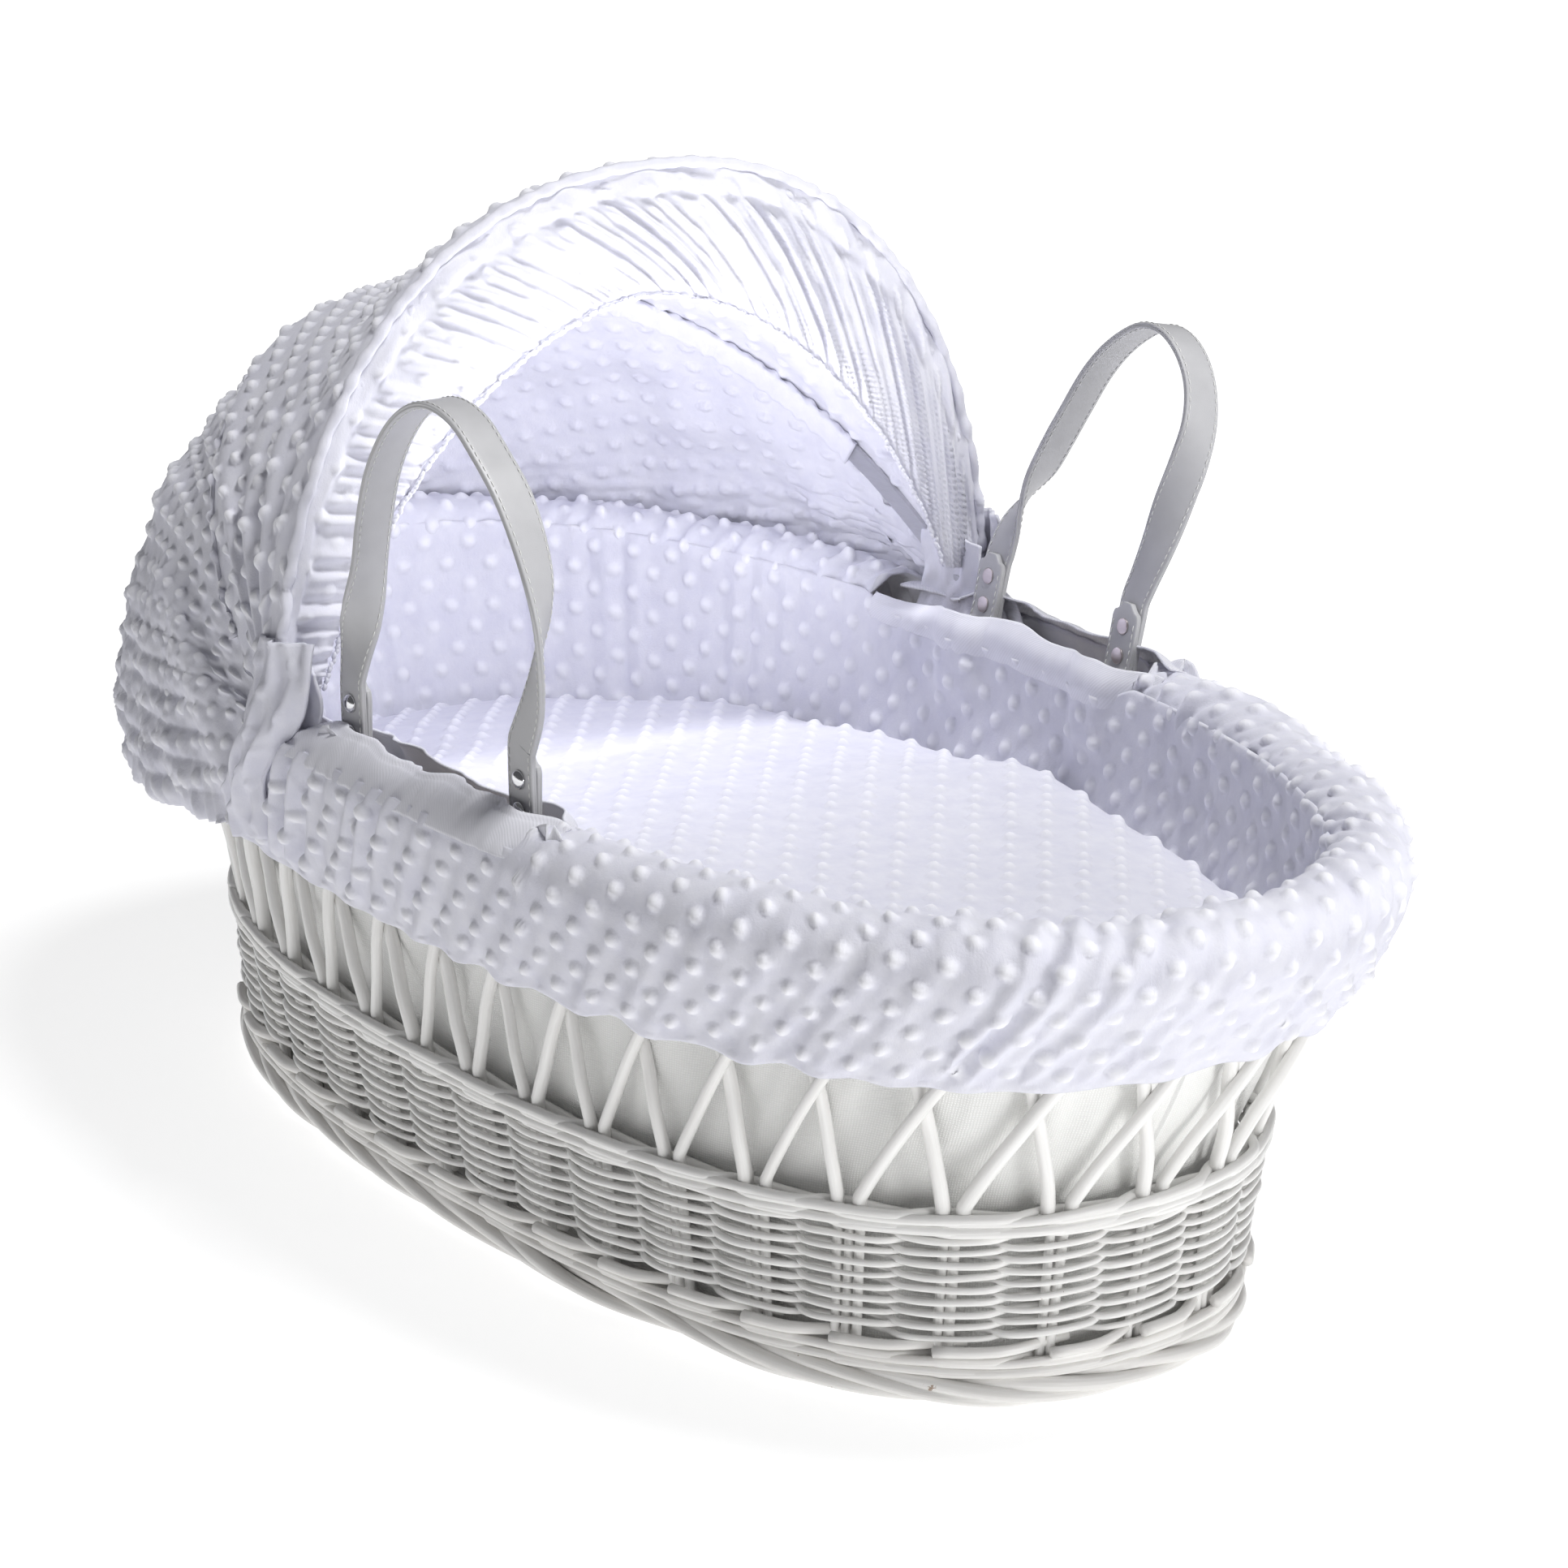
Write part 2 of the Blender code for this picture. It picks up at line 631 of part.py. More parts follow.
def head_curve(a, b, start_x, z_foot, z_middle, rise=0.7, count=ACROSS):
    """Half oval round the head end from the near side to the far side, starting at start_x."""
    ring = oval(a + RIM_SHIFT, b, RIM_POWER, count=2000, centre_x=RIM_SHIFT)
    half = [(x, y) for x, y in ring if x <= start_x]
    run = np.linspace(0, len(half) - 1, count)
    points = [half[len(half) - 1 - int(round(r))] for r in run]
    curve = []
    for i, (x, y) in enumerate(points):
        share = math.sin(math.pi * i / (count - 1)) ** rise
        curve.append(Vector((x, y, z_foot + (z_middle - z_foot) * share)))
    return curve


HEM = (0.4180, 0.2180, -0.094, 0.195, 0.150)


def build_canopy():
    foot = PIVOT_Z + 0.012
    pivot = (PIVOT_X, 0.0, PIVOT_Z)
    front = arch(FRONT_HALF + 0.0034, FRONT_TOP + 0.0034, ACROSS, foot)
    rear = arch(REAR_HALF + 0.0034, REAR_TOP + 0.0034, ACROSS, foot)
    curves = [[Vector((PIVOT_X + shift, y, z)) for y, z in front] for shift in (0.0055, -0.0068)]
    rear_front = [lean_back((PIVOT_X + 0.0065, y, z), REAR_LEAN) for y, z in rear]
    middle = []
    for start, end in zip(curves[1], rear_front):
        point = (start + end) / 2
        sag = 0.010 * min(max((start.z - foot) / 0.1, 0.0), 1.0)
        middle.append(point - Vector((0.0, 0.0, sag)))
    curves += [middle, rear_front]
    curves.append([lean_back((PIVOT_X - 0.0065, y, z), REAR_LEAN) for y, z in rear])
    loft("canopy_front", curves, 0.003, "plush", origin=pivot)

    back = [
        [lean_back((PIVOT_X - 0.0072, y, z), REAR_LEAN) for y, z in rear],
        [lean_back((PIVOT_X - 0.0092, y, z), REAR_LEAN) for y, z in rear],
        head_curve(0.345, 0.2130, -0.0865, 0.2485, 0.345, 1.2),
        head_curve(0.380, 0.2150, -0.0870, 0.2460, 0.303, 1.0),
        head_curve(0.402, 0.2170, -0.0880, 0.240, 0.263),
        head_curve(0.412, 0.2185, -0.0890, 0.230, 0.236),
        head_curve(0.421, 0.2200, -0.090, 0.217, 0.203),
        head_curve(0.423, 0.2195, -0.092, 0.206, 0.174),
        head_curve(*HEM),
    ]
    loft("canopy_rear", back, 0.003, "plush", origin=pivot)
    a, b, start_x, z_foot, z_middle = HEM
    cord = head_curve(a, b, start_x, z_foot - 0.0035, z_middle - 0.0035)
    verts, faces = tube(cord, 0.0015)
    solid("canopy_elastic", verts, faces, "elastic")

    plane = PIVOT_X + 0.0058
    outer = arch(FRONT_HALF + 0.0020, FRONT_TOP + 0.0040, ACROSS, 0.264)
    inner = arch(0.201, 0.434, ACROSS, 0.264, power=1.76, base_z=0.192)
    verts, faces = [], []
    for (yo, zo), (yi, zi) in zip(outer, inner):
        verts += [(plane, yo, zo), (plane + 0.003, yo, zo), (plane + 0.003, yi, zi), (plane, yi, zi)]
    for i in range(ACROSS - 1):
        for k in range(4):
            m = (k + 1) % 4
            faces.append((i * 4 + k, i * 4 + m, i * 4 + 4 + m, i * 4 + 4 + k))
    faces.append((0, 1, 2, 3))
    faces.append(tuple((ACROSS - 1) * 4 + k for k in range(4)))
    solid("valance", verts, faces, "plush", origin=pivot)
    inner = arch(0.1990, 0.4315, ACROSS, 0.264, power=1.76, base_z=0.192)
    verts, faces = tube([Vector((plane + 0.0015, y, z)) for y, z in inner], 0.0014)
    solid("valance_elastic", verts, faces, "elastic", origin=pivot)
    ridge = arch(FRONT_HALF + 0.0062, FRONT_TOP + 0.0080, ACROSS, foot)
    verts, faces = tube([Vector((plane + 0.0022, y, z)) for y, z in ridge], 0.0020, sides=8)
    solid("canopy_piping", verts, faces, "plush", origin=pivot)


# ---------------------------------------------------------------- handles

def strap_path(run, half):
    """Stations of one strap as (along, out, up), width and width direction."""
    offset = STRAP_THICK / 2 + GAP / 2
    loop = RIM_R + 0.0012 + STRAP_THICK / 2
    tab = [(-offset, 0.052, 0.007), (-offset, 0.044, STRAP_WIDTH), (-offset, 0.019, STRAP_WIDTH),
           (-0.0055, 0.0145, STRAP_WIDTH), (-0.0098, 0.0090, STRAP_WIDTH)]
    turns = [172, 200, 228, 255, 285, 312, 340, 368]
    wrap = [(loop * math.cos(math.radians(t)), loop * math.sin(math.radians(t)), STRAP_WIDTH) for t in turns]
    leg = [(0.0098, 0.0090, STRAP_WIDTH), (0.0055, 0.0145, STRAP_WIDTH), (offset, 0.019, STRAP_WIDTH),
           (offset, 0.046, STRAP_WIDTH)]
    foot = tab + wrap + leg
    points, widths, dirs = [], [], []
    for out, up, width in foot:
        points.append(Vector((-half, out, up)))
        widths.append(width)
        dirs.append(Vector((-1.0, 0.0, 0.0)))
    count = len(run)
    for i, (along, up) in enumerate(run):
        before = run[max(i - 1, 0)]
        after = run[min(i + 1, count - 1)]
        tangent = Vector((after[0] - before[0], 0.0, after[1] - before[1])).normalized()
        inward = Vector((tangent.z, 0.0, -tangent.x))
        turn_length = 0.055 if along < 0.0 else 0.115
        share = min(max((up - 0.055) / turn_length, 0.0), 1.0)
        twist = math.pi / 2 * share * share * (3.0 - 2.0 * share)
        face = Vector((0.0, 1.0, 0.0)) * math.cos(twist) + inward * math.sin(twist)
        points.append(Vector((along, offset * (1.0 - share), up)))
        widths.append(STRAP_WIDTH)
        dirs.append(tangent.cross(face))
    for out, up, width in foot[::-1]:
        points.append(Vector((half, out, up)))
        widths.append(width)
        dirs.append(Vector((1.0, 0.0, 0.0)))
    return points, widths, dirs


def handle_frame(side, lean, feet):
    """Matrix from (along, out, up) to the basket, with the axis along the rim between the feet."""
    start = rim_point(feet[0], side)
    end = rim_point(feet[1], side)
    along = (end - start).normalized()
    up = Vector((0.0, 0.0, 1.0))
    out = Vector((-along.y, along.x, 0.0)) * side
    leaning_out = out * math.cos(lean) - up * math.sin(lean)
    leaning_up = up * math.cos(lean) + out * math.sin(lean)
    frame = Matrix.Identity(4)
    for row in range(3):
        frame[row][0] = along[row]
        frame[row][1] = leaning_out[row]
        frame[row][2] = leaning_up[row]
        frame[row][3] = ((start + end) / 2)[row]
    return frame


def build_handles():
    for label, strap in SIDES.items():
        frame = handle_frame(strap["side"], strap["lean"], strap["feet"])
        pivot = frame.translation.copy()
        reach = (strap["feet"][1] - strap["feet"][0]) / 2
        points, widths, dirs = strap_path(strap["run"], reach)
        verts, faces = sweep(points, widths, STRAP_THICK, dirs)
        band = solid("strap_" + label, verts, faces, "strap", origin=pivot, matrix=frame)
        half = STRAP_THICK + GAP / 2
        back, front = -half - 0.0002, half + 0.0002
        profile = [(0, back - 0.0009), (0.0042, back - 0.0009), (0.0042, back), (0.0019, back),
                   (0.0019, front), (0.0046, front), (0.0043, front + 0.0010), (0.0026, front + 0.0022),
                   (0, front + 0.0026)]
        for end_label, end in (("head", -1), ("foot", 1)):
            for number, height in enumerate(RIVET_HEIGHTS, start=1):
                place = frame @ Matrix.Translation((end * reach, 0.0, height))
                hole, hole_faces = lathe([(0, -0.02), (0.0021, -0.02), (0.0021, 0.02), (0, 0.02)])
                cut(band, solid("cutter", hole, hole_faces, "strap", matrix=place))
                verts, faces = lathe(profile)
                name = "strap_rivet_" + label + "_" + end_label + "_" + str(number)
                solid(name, verts, faces, "chrome", origin=pivot, matrix=place)


clear_scene()
build_weave()
build_lattice()
build_rim()
build_liner()
build_plush()
build_bindings()
build_bedding()
build_bow("front_bow", FRONT_HALF, FRONT_TOP, 0.0)
build_bow("rear_bow", REAR_HALF, REAR_TOP, REAR_LEAN)
build_pivots()
build_canopy()
build_handles()
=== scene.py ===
"""Looks of the moses basket: woven painted rods, dimple plush, cotton, leatherette straps, metal fittings.

Metres, in the frame of the CAD part: +X foot end, -X head end, near side -Y, floor at z = 0.
"""
import math

import bpy
import numpy as np
from mathutils import Matrix, Vector


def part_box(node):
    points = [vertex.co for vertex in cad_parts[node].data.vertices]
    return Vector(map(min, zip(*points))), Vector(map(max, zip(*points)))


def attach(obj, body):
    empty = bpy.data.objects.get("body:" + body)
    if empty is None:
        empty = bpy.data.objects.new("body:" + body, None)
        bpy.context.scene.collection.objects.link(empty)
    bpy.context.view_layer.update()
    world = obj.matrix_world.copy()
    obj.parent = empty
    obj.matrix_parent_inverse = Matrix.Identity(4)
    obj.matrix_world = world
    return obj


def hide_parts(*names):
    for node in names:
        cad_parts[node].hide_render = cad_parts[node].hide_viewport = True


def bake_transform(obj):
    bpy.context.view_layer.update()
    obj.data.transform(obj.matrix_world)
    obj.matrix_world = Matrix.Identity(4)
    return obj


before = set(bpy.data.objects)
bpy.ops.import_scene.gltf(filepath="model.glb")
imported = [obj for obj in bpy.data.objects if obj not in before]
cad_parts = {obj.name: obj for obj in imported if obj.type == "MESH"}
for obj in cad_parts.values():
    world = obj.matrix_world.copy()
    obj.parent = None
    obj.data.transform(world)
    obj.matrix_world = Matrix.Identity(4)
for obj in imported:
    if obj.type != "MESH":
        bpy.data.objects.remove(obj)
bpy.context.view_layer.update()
rng = np.random.default_rng(11)

# Sizes shared with the part
RIM = (0.395, 0.187)
RIM_Z = 0.226
RIM_POWER = 2.38
SHIFT = 0.008
BASE = (0.3425, 0.155)
BASE_POWER = 2.5
BASE_X = -0.01
BAND = (0.346, 0.1765)
BAND_Z = 0.101
CELLS = 36
PIVOT = Vector((-0.07, 0.0, 0.25))
REAR_LEAN = math.radians(53.0)
FRONT_HALF, FRONT_TOP = 0.2058, 0.4905
REAR_HALF, REAR_TOP = 0.2022, 0.497
EDGE_Z, INNER_EDGE_Z = 0.2425, 0.2345
OPENINGS = {-1: (-0.1, 0.132), 1: (-0.1, 0.098)}
TAU = 2.0 * math.pi


# ---------------------------------------------------------------- materials

def fill(tree, node, values):
    """Set a node's inputs and settings. A value that is a socket is linked."""
    for key, value in values.items():
        if isinstance(value, bpy.types.NodeSocket):
            tree.links.new(value, node.inputs[key])
        elif isinstance(key, int) or key in node.inputs:
            node.inputs[key].default_value = value
        else:
            setattr(node, key, value)


def add(tree, kind, **values):
    node = tree.nodes.new(kind)
    fill(tree, node, values)
    return node


def new_material(name, colour, rough, metal=0.0):
    made = bpy.data.materials.new(name)
    made.use_nodes = True
    tree = made.node_tree
    shader = tree.nodes["Principled BSDF"]
    fill(tree, shader, {"Base Color": (*colour, 1.0), "Roughness": rough, "Metallic": metal})
    made.diffuse_color = (*colour, 1.0)
    return made, tree, shader


def ramp(tree, source, *stops):
    """Colours between two stops of (place, colour), where a colour may be one grey value."""
    node = add(tree, "ShaderNodeValToRGB", Fac=source)
    for element, (place, colour) in zip(node.color_ramp.elements, stops):
        element.position = place
        element.color = (*(colour if isinstance(colour, tuple) else (colour,) * 3), 1.0)
    return node.outputs["Color"]


def mixed(tree, factor, first, second):
    node = add(tree, "ShaderNodeMix", data_type="RGBA")
    fill(tree, node, {0: factor, 6: first, 7: second})
    return node.outputs[2]


def bump(tree, shader, height, strength, distance, under=None):
    node = add(tree, "ShaderNodeBump", Height=height, Strength=strength, Distance=distance)
    if under is not None:
        fill(tree, node, {"Normal": under})
    fill(tree, shader, {"Normal": node.outputs["Normal"]})
    return node.outputs["Normal"]


def coordinates(tree, kind="Object", scale=(1, 1, 1)):
    source = add(tree, "ShaderNodeTexCoord").outputs[kind]
    return add(tree, "ShaderNodeMapping", Vector=source, Scale=scale).outputs["Vector"]


def noise(tree, where, scale, detail=3.0, rough=0.6):
    made = add(tree, "ShaderNodeTexNoise", Vector=where, Scale=scale, Detail=detail, Roughness=rough)
    return made.outputs["Fac"]


def wave(tree, where, direction, scale, **more):
    made = add(tree, "ShaderNodeTexWave", bands_direction=direction, Vector=where, Scale=scale, **more)
    return made.outputs["Fac"]


def plush_material():
    made, tree, shader = new_material("plush_pile", (0.83, 0.83, 0.93), 0.92)
    where = coordinates(tree)
    soft = noise(tree, where, 60.0, 4.0, 0.65)
    ground = ramp(tree, soft, (0.3, (0.7, 0.7, 0.79)), (0.7, (0.775, 0.775, 0.84)))
    # Dot caps are mixed paler than the ground between them: partly the pile's own tone, partly painted
    # highlight on the caps and painted shade between them.
    dot_tone_and_highlight = add(tree, "ShaderNodeAttribute", attribute_name="raised")
    fill(tree, shader, {"Base Color": mixed(tree, dot_tone_and_highlight.outputs["Fac"], ground, (0.9, 0.9, 0.945, 1.0)),
                        "Sheen Weight": 0.1, "Sheen Roughness": 0.55, "Specular IOR Level": 0.15})
    pile = bump(tree, shader, noise(tree, where, 950.0, 3.0, 0.7), 0.3, 0.0006)
    nap = noise(tree, coordinates(tree, scale=(1.0, 1.0, 0.45)), 260.0, 4.0, 0.7)
    bump(tree, shader, nap, 0.28, 0.001, pile)
    return made


def cotton_material():
    made, tree, shader = new_material("cotton_weave", (0.82, 0.81, 0.77), 0.88)
    where = coordinates(tree, "UV")
    across, down = [wave(tree, where, way, 240.0, Distortion=1.5, Detail=2.0) for way in ("X", "Y")]
    threads = add(tree, "ShaderNodeMath", operation="MULTIPLY")
    fill(tree, threads, {0: across, 1: down})
    threads = threads.outputs[0]
    colour = ramp(tree, threads, (0.0, (0.85, 0.85, 0.835)), (0.55, (0.93, 0.93, 0.915)))
    fill(tree, shader, {"Base Color": colour, "Sheen Weight": 0.15})
    bump(tree, shader, threads, 0.55, 0.0004)
    return made


def tape_material():
    made, tree, shader = new_material("cotton_tape", (0.9, 0.9, 0.9), 0.85)
    twill = wave(tree, coordinates(tree, "UV"), "DIAGONAL", 330.0, Distortion=0.6)
    colour = ramp(tree, twill, (0.0, (0.76, 0.76, 0.82)), (1.0, (0.81, 0.81, 0.87)))
    fill(tree, shader, {"Base Color": colour, "Sheen Weight": 0.2})
    bump(tree, shader, twill, 0.3, 0.0002)
    return made


def wicker_material(name, light, dark, nick=0.73):
    """Painted rod: streaks along the rod, some darker where the paint is thin, and a few bare brown nicks.
    """
    made, tree, shader = new_material(name, light, 0.38)
    streak = noise(tree, coordinates(tree, "UV", (14.0, 420.0, 1.0)), 1.0, 5.0, 0.65)
    spots = noise(tree, coordinates(tree), 95.0, 4.0, 0.75)
    worn = ramp(tree, spots, (nick, 0.0), (nick + 0.03, 1.0))
    paint = ramp(tree, streak, (0.3, dark), (0.62, light))
    fill(tree, shader, {"Base Color": mixed(tree, worn, paint, (0.36, 0.26, 0.19, 1.0)),
                        "Roughness": ramp(tree, streak, (0.25, 0.55), (0.75, 0.28)),
                        "Coat Weight": 0.18, "Coat Roughness": 0.25})
    first = bump(tree, shader, streak, 0.45, 0.0004)
    bump(tree, shader, spots, 0.25, 0.0006, first)
    return made


def leather_material():
    made, tree, shader = new_material("leatherette", (0.66, 0.66, 0.67), 0.42)
    where = coordinates(tree)
    cells = add(tree, "ShaderNodeTexVoronoi", Vector=where, Scale=1150.0, feature="DISTANCE_TO_EDGE")
    tone = noise(tree, where, 35.0)
    colour = ramp(tree, tone, (0.3, (0.47, 0.47, 0.485)), (0.7, (0.53, 0.53, 0.545)))
    fill(tree, shader, {"Base Color": colour, "Roughness": ramp(tree, tone, (0.3, 0.36), (0.7, 0.5))})
    bump(tree, shader, cells.outputs["Distance"], 0.3, 0.0002)
    return made


def darker(colour, share):
    return tuple(share * value for value in colour)


def metal_material(name, colour, rough, scratch):
    made, tree, shader = new_material(name, colour, rough, 1.0)
    wear = noise(tree, coordinates(tree, scale=(1.0, 1.0, 6.0)), 130.0, 5.0, 0.7)
    fill(tree, shader, {"Base Color": ramp(tree, wear, (0.3, darker(colour, 0.88)), (0.7, colour)),
                        "Roughness": ramp(tree, wear, (0.3, rough), (0.7, rough + scratch))})
    bump(tree, shader, wear, 0.06, 0.0003)
    return made


def thread_material(name, colour):
    made, tree, shader = new_material(name, colour, 0.75)
    twist = wave(tree, coordinates(tree), "DIAGONAL", 900.0)
    fill(tree, shader, {"Base Color": ramp(tree, twist, (0.0, darker(colour, 0.8)), (1.0, colour))})
    bump(tree, shader, twist, 0.4, 0.0002)
    return made


PLUSH = plush_material()
COTTON = cotton_material()
TAPE = tape_material()
WICKER = wicker_material("painted_wicker", (0.93, 0.925, 0.91), (0.83, 0.82, 0.8))
BORDER = wicker_material("painted_wicker_border", (0.92, 0.91, 0.89), (0.79, 0.77, 0.74), 0.71)
RIM_WOOD = wicker_material("rim_wicker", (0.72, 0.66, 0.58), (0.5, 0.42, 0.34), 0.62)
LEATHER = leather_material()
CHROME = metal_material("chrome_rivet", (0.78, 0.78, 0.8), 0.1, 0.1)
BACKING = metal_material("rivet_back", (0.66, 0.6, 0.6), 0.3, 0.12)
STEEL = metal_material("flat_steel", (0.6, 0.6, 0.62), 0.34, 0.18)
THREAD = thread_material("white_thread", (0.88, 0.88, 0.86))


# ---------------------------------------------------------------- meshes

def mesh_piece(name, verts, faces, material, body, uv=None, replaces=()):
    """One mesh. faces is a list of (count, corners) arrays; uv has a pair for each vertex or each corner."""
    blocks = [np.atleast_2d(np.asarray(block, np.int32)) for block in faces]
    loops = np.concatenate([block.ravel() for block in blocks])
    totals = np.concatenate([np.full(len(block), block.shape[1]) for block in blocks])
    mesh = bpy.data.meshes.new(name)
    mesh.vertices.add(len(verts))
    mesh.vertices.foreach_set("co", np.asarray(verts, np.float32).ravel())
    mesh.loops.add(len(loops))
    mesh.loops.foreach_set("vertex_index", loops)
    mesh.polygons.add(len(totals))
    mesh.polygons.foreach_set("loop_start", np.concatenate([[0], np.cumsum(totals)[:-1]]).astype(np.int32))
    mesh.update(calc_edges=True)
    layer = mesh.uv_layers.new(name="UVMap")
    corners = np.zeros((len(loops), 2), np.float32)
    if uv is not None and len(uv) == len(verts):
        corners[:] = np.asarray(uv)[loops]
    elif uv is not None:
        corners[:len(uv)] = uv
    layer.data.foreach_set("uv", corners.ravel())
    mesh.polygons.foreach_set("use_smooth", [True] * len(mesh.polygons))
    mesh.materials.append(material)
    mesh.update()
    piece = bpy.data.objects.new(name, mesh)
    bpy.context.collection.objects.link(piece)
    if body:
        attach(piece, body)
    if replaces:
        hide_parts(*replaces)
    return piece


def grid_quads(rows, columns, wrap=True, closed=False, start=0):
    """Quads of a grid of points: wrap joins the last column to the first, closed the last row."""
    i = np.arange(rows if closed else rows - 1)[:, None]
    k = np.arange(columns if wrap else columns - 1)[None, :]
    j = (i + 1) % rows
    m = (k + 1) % columns
    quads = np.stack([i * columns + k, i * columns + m, j * columns + m, j * columns + k], -1)
    return quads.reshape(-1, 4) + start


def tube_faces(rows, columns):
    """Faces of a tube of rings with its two ends filled."""
    end = np.arange(columns)
    return [grid_quads(rows, columns), end[None, ::-1], end[None, :] + (rows - 1) * columns]


def unit(vectors):
    size = np.linalg.norm(vectors, axis=-1, keepdims=True)
    return vectors / np.maximum(size, 1e-12)


def rods(name, paths, radii, material, body="basket", sides=8, closed=False, replaces=()):
    """Round rods in one mesh. Each path is (n, 3); each radius is a number or one value per point."""
    all_verts, all_quads, all_uv, caps = [], [], [], []
    start = 0
    turn = TAU * np.arange(sides) / sides
    for path, radius in zip(paths, radii):
        path = np.asarray(path, float)
        count = len(path)
        if closed:
            tangent = unit(np.roll(path, -1, 0) - np.roll(path, 1, 0))
        else:
            tangent = unit(np.gradient(path, axis=0))
        guide = np.tile([0.0, 0.0, 1.0], (count, 1))
        if np.abs(tangent[:, 2]).mean() > 0.7:
            middle = path.mean(0)
            guide = np.tile([middle[0] * 0.2, middle[1], 0.0], (count, 1)) + 1e-6
        across = unit(np.cross(tangent, guide))
        other = np.cross(across, tangent)
        size = np.broadcast_to(np.asarray(radius, float), (count,))
        ring = across[:, None] * np.cos(turn)[None, :, None] + other[:, None] * np.sin(turn)[None, :, None]
        verts = path[:, None] + ring * size[:, None, None]
        step = np.linalg.norm(np.diff(path, axis=0, append=path[:1]), axis=1)
        run = running(step) + start * 0.0137
        around = float(size.mean()) * TAU / sides
        i = np.arange(count if closed else count - 1)[:, None]
        u0, u1, v0 = np.broadcast_arrays(run[i], run[i + 1], np.arange(sides)[None, :] * around)
        v1 = v0 + around
        all_verts.append(verts.reshape(-1, 3))
        all_quads.append(grid_quads(count, sides, closed=closed, start=start))
        all_uv.append(np.stack([u0, v0, u0, v1, u1, v1, u1, v0], -1).reshape(-1, 2))
        if not closed:
            end = start + np.arange(sides)
            caps += [end[::-1], end + (count - 1) * sides]
        start += count * sides
    faces = [np.concatenate(all_quads)] + ([np.array(caps)] if caps else [])
    verts, uv = np.concatenate(all_verts), np.concatenate(all_uv)
    return mesh_piece(name, verts, faces, material, body, uv, replaces)


def normals_of(grid, wrap):
    """Unit normals of a (rows, columns, 3) grid, wrapping round the columns where wrap is set."""
    down = np.gradient(grid, axis=0)
    if wrap:
        across = np.roll(grid, -1, 1) - np.roll(grid, 1, 1)
    else:
        across = np.gradient(grid, axis=1)
    return unit(np.cross(across, down))


def cloth(name, base, outer, inner, held, material=PLUSH, body="basket", wrap=False, step=1,
          flip=False, replaces=(), raised=None):
    """A closed two-layer sheet. The inner layer keeps every step-th row and column of its grid.

    base is the smooth grid that the sheet's size is taken from, and raised is the height of the dots
    on the outer layer, which the plush material lightens: partly the pile's own paler tone, partly
    a painted highlight on the dot caps.
    """
    if flip:
        outer, inner = outer[:, ::-1], inner[:, ::-1]
        raised = None if raised is None else raised[:, ::-1]
    rows, columns = outer.shape[:2]
    inner = inner[::step, ::step]
    inner_rows, inner_columns = inner.shape[:2]
    across = inner_columns if wrap else inner_columns - 1
    size = rows * columns
    faces = [grid_quads(rows, columns, wrap),
             grid_quads(inner_rows, inner_columns, wrap, start=size)[:, ::-1]]
    j = np.arange(across)[:, None]
    fine = (j * step + np.arange(step + 1)[None, :]) % columns
    coarse = np.concatenate([j, (j + 1) % inner_columns], 1) + size
    faces.append(np.concatenate([fine[:, ::-1], coarse], 1))
    low, inner_low = (rows - 1) * columns, (inner_rows - 1) * inner_columns
    faces.append(np.concatenate([fine + low, coarse[:, ::-1] + inner_low], 1))
    if not wrap:
        i = np.arange((rows - 1) // step)[:, None]
        fine = (i * step + np.arange(step + 1)[None, :]) * columns
        coarse = np.concatenate([i, i + 1], 1) * inner_columns + size
        faces.append(np.concatenate([fine, coarse[:, ::-1]], 1))
        faces.append(np.concatenate([fine[:, ::-1] + columns - 1, coarse + inner_columns - 1], 1))
    verts = np.concatenate([outer.reshape(-1, 3), inner.reshape(-1, 3)])
    run_u, run_v = lengths(outer, 1).mean(0), lengths(outer, 0).mean(1)
    flat = np.stack(np.broadcast_arrays(run_u[None, :], run_v[:, None]), -1)
    flat = np.concatenate([flat.reshape(-1, 2), flat[::step, ::step].reshape(-1, 2)])
    piece = mesh_piece(name, verts, faces, material, body, flat, replaces)
    if raised is not None:
        share = np.zeros(len(verts), np.float32)
        share[:size] = np.clip(raised / DOT_HEIGHT, 0.0, 1.0).ravel()
        piece.data.attributes.new("raised", "FLOAT", "POINT").data.foreach_set("value", share)
    if held:
        say_sheet(base, wrap)
    return piece


def say_sheet(grid, wrap=False):
    """Work out a sheet's length, width and area from its own smooth grid, taken as the cut; nothing is done
    with them.
    """
    across = np.roll(grid, -1, 1) - grid if wrap else np.diff(grid, axis=1)
    long = float(np.linalg.norm(across, axis=-1).sum(1).max())
    wide = float(lengths(grid, 0)[-1].max())
    down = np.diff(grid, axis=0)
    cells = np.cross(across[:-1, :down.shape[1]], down[:, :across.shape[1]])
    area = float(np.linalg.norm(cells, axis=-1).sum())
    area = min(max(area, 0.31 * wide * long), wide * long)


def through(controls, per_step):
    """Catmull-Rom curve through control rows, with per_step points for each pair."""
    before, after = 2 * controls[:1] - controls[1:2], 2 * controls[-1:] - controls[-2:-1]
    padded = np.concatenate([before, controls, after])
    t = np.linspace(0.0, 1.0, per_step, endpoint=False).reshape(-1, *[1] * (controls.ndim - 1))
    parts = []
    for i in range(1, len(padded) - 2):
        p0, p1, p2, p3 = padded[i - 1:i + 3]
        parts.append(0.5 * (2 * p1 + (p2 - p0) * t + (2 * p0 - 5 * p1 + 4 * p2 - p3) * t ** 2
                            + (3 * p1 - p0 - 3 * p2 + p3) * t ** 3))
    return np.concatenate(parts + [controls[-1:]])


